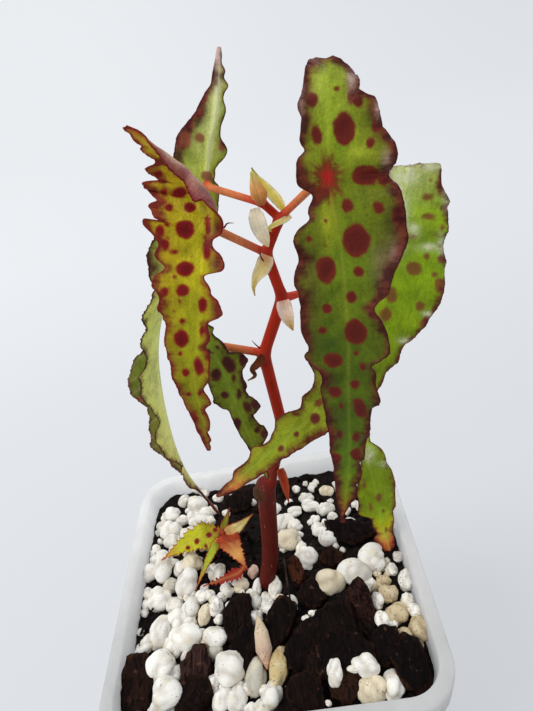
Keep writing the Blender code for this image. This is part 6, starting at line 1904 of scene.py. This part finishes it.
RIGHT_BANK = [
    (19, -0.5), (26, 1), (29, -2), (29.5, -18), (26, -20.5), (24, -17), (25, -9), (22, -5), (19, -4),
]
BACK_CORNER = [(4, 4), (24, 4), (26, 28), (-8, 28)]


def drawn_stones(outline, count, sizes, seed, colour):
    """Grains drawn at random within an outline, half sunk, so that they show between larger ones."""
    draw = np.random.default_rng(seed)
    low, high = np.min(outline, axis=0), np.max(outline, axis=0)
    x = draw.uniform(low[0], high[0], 4 * count)
    y = draw.uniform(low[1], high[1], 4 * count)
    parts = []
    for k in np.flatnonzero(inside(outline, x, y))[:count]:
        radius = draw.uniform(*sizes)
        radii = radius * draw.uniform(0.8, 1.15, 3)
        place = np.array([x[k], y[k], float(soil_height(x[k], y[k])) + 0.2 * radius])
        reach = body_half(76.0) - 1.6 - radius
        place[:2] = np.clip(place[:2], -reach, reach)
        spin = draw.uniform(0, 6)
        parts.append(stone_part(place, radii, spin, int(seed * 1000 + k), colour, form="plain"))
    return parts


def stone_material(name, pore_count, pits, dust):
    """Chalky stone: its own tint, some cream, darker pores (so many a metre) and specks of dust."""
    material, tree, shader = new_material(name)
    place = object_place(tree)
    fine = noise(tree, place, 0.3, 5.0)
    colour = shaded_ground(tree, compute(tree, "MULTIPLY_ADD", fine, 0.3, 0.86))
    cream = compute(tree, "MULTIPLY", soft_step(tree, noise(tree, place, 2.2, 3.0), 0.5, 0.7), 0.5)
    colour = blend_colours(tree, cream, colour, (226, 214, 184))
    pores = compute(tree, "MULTIPLY", soft_step(tree, cells(tree, place, pore_count), 0.3, 0.12), pits)
    colour = blend_colours(tree, pores, colour, (120, 104, 84))
    threshold = compute(tree, "MULTIPLY_ADD", field(tree, "dirt"), -0.07, 0.72)
    above = compute(tree, "SUBTRACT", noise(tree, place, 0.55, 3.0), threshold)
    specks = compute(tree, "MULTIPLY", soft_step(tree, above, 0.0, 0.03), dust)
    colour = blend_colours(tree, specks, colour, (74, 56, 46))
    finish(tree, shader, colour, 0.85, 0.2, compute(tree, "MULTIPLY_ADD", pores, -0.6, fine), 0.7, 0.00018)
    let_light_through(tree, shader, colour, 0.06)
    return material


def seen_stones(groups, first_seed):
    """The grains of several (marks, colour) groups, each with a seed of its own."""
    parts = []
    for marks, colour in groups:
        for mark in marks:
            parts.append(seen_stone(mark, first_seed + 3 * len(parts), colour))
    return parts


PERLITE = stone_material("perlite", 2600.0, 0.12, 0.7)
PUMICE = stone_material("pumice", 1500.0, 0.85, 0.6)
LEFT_GROUPS = [
    (LEFT_WHITE, WHITE), (LEFT_CREAM, CREAMY), (LEFT_GREY, GREYISH), (LEFT_PINK, (222, 190, 172)),
]
left = seen_stones(LEFT_GROUPS, 1000) + drawn_stones(LEFT_BANK, 140, (0.6, 1.7), 21, WHITE)
add_joined("perlite_left", left, PERLITE, "perlite", "perlite_left")
front = seen_stones([(FRONT_WHITE, WHITE), (FRONT_GREY, GREYISH)], 2000)
front += drawn_stones(FRONT_BANK, 12, (0.8, 1.5), 22, WHITE)
add_joined("perlite_front", front, PERLITE, "perlite", "perlite_front")
loose = seen_stones([(LOOSE_WHITE, WHITE), (LOOSE_CREAM, CREAMY)], 3000)
loose += drawn_stones(BACK_CORNER, 26, (0.8, 2.0), 23, WHITE)
add_joined("loose_stones", loose, PERLITE, "dark_mix", "potting_mix")
right = seen_stones([(RIGHT_WHITE, WHITE), (RIGHT_TAN, TAN)], 4000)
right += drawn_stones(RIGHT_BANK, 14, (0.8, 1.6), 24, CREAMY)
add_joined("pumice_right", right, PUMICE, "pumice", "pumice_right")

# %% [markdown]
# ## Bark, husks and crumbs
# Chips of pine bark lie on the right, flat and angular, with grain along their length. A pale
# husk, a tan stone, a few sticks and many small crumbs make the mix look real.

# %% Bark and crumbs
DARK_BARK = (52, 30, 28)
FLAKE_OUTLINES = {
    "block": [(1.0, 0.5), (0.35, 0.95), (-0.6, 0.85), (-1.0, 0.2), (-0.8, -0.8), (0.1, -1.0), (0.85, -0.7)],
    "wedge": [(1.0, 0.75), (0.2, 0.9), (-0.95, 0.35), (-1.0, -0.3), (-0.4, -0.95), (0.6, -0.85),
              (1.0, -0.2)],
    "splint": [(1.0, 0.2), (0.8, 0.8), (-0.5, 0.95), (-1.0, 0.3), (-0.85, -0.7), (0.3, -0.9)],
    "fin": [(0.0, 1.02), (0.4, 0.88), (0.75, 0.5), (1.0, -0.2), (0.85, -1.0), (-0.85, -1.0), (-1.0, -0.3),
            (-0.7, 0.5), (-0.35, 0.88)],
}
WORN_EDGE = (120, 76, 50)
BARK_LEVEL = 76.4
CHIP_TOP = 79.6
FIN_TOP = 82.0
STICK_LEVEL = 76.6
BARK = [
    (359, 607, 16, 28, -3, 50, (78, 50, 44), "fin", 0.16),
    (327, 632, 30, 20, 10, 12, (40, 25, 23), "wedge", 0.3),
    (345, 655, 30, 15, -6, 10, (34, 22, 21), "block", 0.35),
    (238, 619, 15, 20, 12, 14, (46, 29, 26), "wedge", 0.4),
    (279, 627, 14, 21, -14, 10, (38, 24, 22), "splint", 0.4),
    (244, 650, 14, 17, -20, 8, (40, 26, 24), "block", 0.4),
    (137, 684, 18, 24, 6, 18, (60, 38, 30), "block", 0.45),
    (196, 667, 15, 14, 24, 10, (92, 62, 56), "wedge", 0.4),
    (194, 698, 20, 13, 0, 8, (48, 30, 26), "splint", 0.4),
    (296, 570, 8, 10, 20, 12, (112, 62, 42), "block", 0.3),
    (332, 558, 12, 7, -20, 10, (70, 40, 30), "splint", 0.3),
    (349, 533, 26, 10, -14, 10, (40, 25, 24), "splint", 0.35),
    (239, 502, 14, 9, 8, 10, (44, 30, 28), "wedge", 0.35),
    (306, 696, 19, 15, 16, 10, (46, 29, 24), "block", 0.4),
    (347, 688, 18, 11, -8, 10, (72, 46, 34), "splint", 0.4),
    (410, 664, 17, 20, 20, 10, (30, 20, 20), "wedge", 0.4),
    (386, 646, 16, 14, -20, 12, (36, 23, 22), "block", 0.4),
    (298, 655, 15, 14, 30, 10, (36, 23, 22), "wedge", 0.35),
    (312, 594, 12, 10, 30, 8, (44, 28, 24), "block", 0.3),
    (318, 668, 16, 10, 24, 9, (52, 34, 28), "splint", 0.35),
]
HUSK = [(258, 616, 79.2), (261, 632, 78.8), (264, 650, 77.8), (267, 668, 76.4)]
HUSK_TONES = [(0, 196, 178, 148), (0.4, 206, 186, 160), (0.75, 190, 162, 142), (1, 196, 140, 112)]
STICKS = [
    ((284, 560), (291, 606), 0.7, 0.26, (96, 78, 66)), ((141, 634), (156, 604), 0.6, 0.3, (52, 34, 30)),
    ((300, 642), (330, 672), 0.5, 0.28, (70, 46, 38)), ((338, 600), (372, 640), 0.4, 0.25, (60, 40, 34)),
]


def outline_reach(corners, angle):
    """How far a flake's outline lies in each direction: where the ray crosses a side."""
    corners = sorted(corners, key=lambda corner: math.atan2(corner[1], corner[0]))
    turn = [math.atan2(y, x) for x, y in corners]
    after = np.searchsorted(turn, angle) % len(turn)
    a, b = np.array(corners)[after - 1], np.array(corners)[after]
    side = b - a
    area = a[:, 0] * b[:, 1] - a[:, 1] * b[:, 0]
    return area / (np.cos(angle) * side[:, 1] - np.sin(angle) * side[:, 0])


def flake(wide, deep, thick, outline, ragged, seed):
    """A ball pressed flat, with grooves along X, and how worn its rim is.

    A direction's share out is raised to the power 0.35, up to the outline, and its share up to
    the power 0.5. Grain, waves and one step in height are then added to its upper face.
    """
    directions, faces = BALLS["flake"]
    angle = np.arctan2(directions[:, 1], directions[:, 0])
    out, up = np.hypot(directions[:, 0], directions[:, 1]), directions[:, 2]
    reach = outline_reach(outline, angle) * out**0.35 * (1 + ragged * wavy(directions, 0.6, seed))
    height = np.sign(up) * np.abs(up) ** 0.5 * (thick * min(wide, deep) + 0.2)
    points = np.column_stack([np.cos(angle) * reach * wide, np.sin(angle) * reach * deep, height])
    grain = 0.16 * np.abs(wavy(points[:, :1], 0.9, seed + 2)) + 0.1 * wavy(points[:, :2], 1.6, seed + 3)
    step = 0.22 * np.tanh(6 * wavy(points[:, :2], 5.0, seed + 4))
    points[:, 2] += np.where(points[:, 2] > 0, grain + step, -grain)
    return points, faces, np.clip(out * 3 - 2, 0, 1) * np.clip(up * 4, 0, 1)


def chip_part(px, py, half_wide, half_high, lean, tilt, colour, form, thick, seed):
    """The flake that the photo shows at a pixel, turned by its lean and raised by its tilt, in degrees."""
    raise_by = math.radians(tilt)
    scale = at_height(px, py, BARK_LEVEL)[1] / FOCAL_PIXELS
    wide, deep = half_wide * scale, half_high * scale / math.sin(PITCH + raise_by)
    top, ragged = (FIN_TOP, 0.03) if form == "fin" else (CHIP_TOP, 0.12)
    rise = deep * math.sin(raise_by)
    middle = min(LOWEST_MIDDLE + rise, top - rise - thick)
    place = at_height(px, py, middle)[0]
    across = at_height(px + 1, py, middle)[0] - place
    spin = math.atan2(across[1], across[0]) + math.radians(lean)
    c, s = math.cos(raise_by), math.sin(raise_by)
    points, faces, worn = flake(wide, deep, thick, FLAKE_OUTLINES[form], ragged, seed)
    points = points @ np.array([[1, 0, 0], [0, c, s], [0, -s, c]]) @ about_z(spin)
    points = points + np.array([place[0], place[1], min(middle, top - points[:, 2].max())])
    ground = srgb(colour) + 0.4 * worn[:, None] * (srgb(WORN_EDGE) - srgb(colour))
    return points, faces, {"ground": ground, "dirt": np.full(len(points), 0.5)}


def bark_material():
    """Bark: dark and reddish with fibres along the flake, painted black shade in its cracks, and worn,
    paler patches.
    """
    material, tree, shader = new_material("bark")
    place = object_place(tree)
    drawn = stretched_place(tree, place, (1.0, 0.25, 1.0))
    fibre = noise(tree, drawn, 0.5, 5.0, 0.4)
    colour = shaded_ground(tree, compute(tree, "MULTIPLY_ADD", fibre, 0.8, -0.1))
    worn = compute(tree, "MULTIPLY", soft_step(tree, noise(tree, place, 1.6, 4.0), 0.62, 0.78), 0.35)
    colour = blend_colours(tree, worn, colour, (120, 84, 66))
    # Painted shade: the cracks are drawn near black, sunk in the relief as well.
    painted_crack_shade = soft_step(tree, noise(tree, drawn, 1.1, 5.0, 1.2), 0.47, 0.40)
    colour = blend_colours(tree, compute(tree, "MULTIPLY", painted_crack_shade, 0.75), colour, (10, 7, 8))
    finish(tree, shader, colour, 0.8, 0.06, compute(tree, "MULTIPLY_ADD", painted_crack_shade, -0.8, fibre), 0.9, 0.0005)
    return material


def husk_part():
    """The pale husk: a smooth spindle, pinkish at its lower end."""
    path = [at_height(*row)[0] for row in HUSK]
    points, faces, share = bar(path, [0.3, 1.45, 1.75, 0.3], 40, 20)
    return points, faces, {"ground": tone(HUSK_TONES, share), "dirt": np.full(len(points), 0.6)}


def stick_part(start, end, bow, radius, colour):
    """A thin stick between two pixels on the mix, bowed upwards."""
    first, last = at_height(*start, STICK_LEVEL)[0], at_height(*end, STICK_LEVEL)[0]
    middle = (first + last) / 2 + (0, 0, bow)
    points, faces, _ = bar([first, middle, last], [radius, radius, radius * 0.6], 14, 7)
    count = len(points)
    return points, faces, {"ground": np.tile(srgb(colour), (count, 1)), "dirt": np.full(count, 0.5)}


def crumbs(count, seed):
    """Small crumbs of compost scattered over the mix, a few dozen faces each."""
    draw = np.random.default_rng(seed)
    parts = []
    while len(parts) < count:
        x, y = draw.uniform(-30, 30, 2)
        radius = draw.uniform(0.25, 0.8)
        if abs(x) + abs(y) > 54:
            continue
        place = np.array([x, y, float(soil_height(x, y)) + 0.3 * radius])
        colour = np.array(DARK_BARK) * draw.uniform(0.5, 1.5)
        parts.append(stone_part(place, radius * draw.uniform(0.5, 1.4, 3), draw.uniform(0, 6),
                                int(seed + 7 * len(parts)), colour, 0.3, "coarse"))
    return parts


BARK_SKIN = bark_material()
chips = [chip_part(*row, 500 + 5 * k) for k, row in enumerate(BARK)]
add_joined("bark_chips", chips, BARK_SKIN, "dark_mix", "potting_mix")
husks = [husk_part(), seen_stone((280, 664, 9, 20), 710, (206, 184, 134))]
add_joined("husk_and_stone", husks, PUMICE, "dark_mix", "potting_mix")
sticks = [stick_part(*row) for row in STICKS]
add_joined("sticks", sticks, BARK_SKIN, "dark_mix", "potting_mix")
add_joined("crumbs", crumbs(520, 31), BARK_SKIN, "dark_mix", "potting_mix")
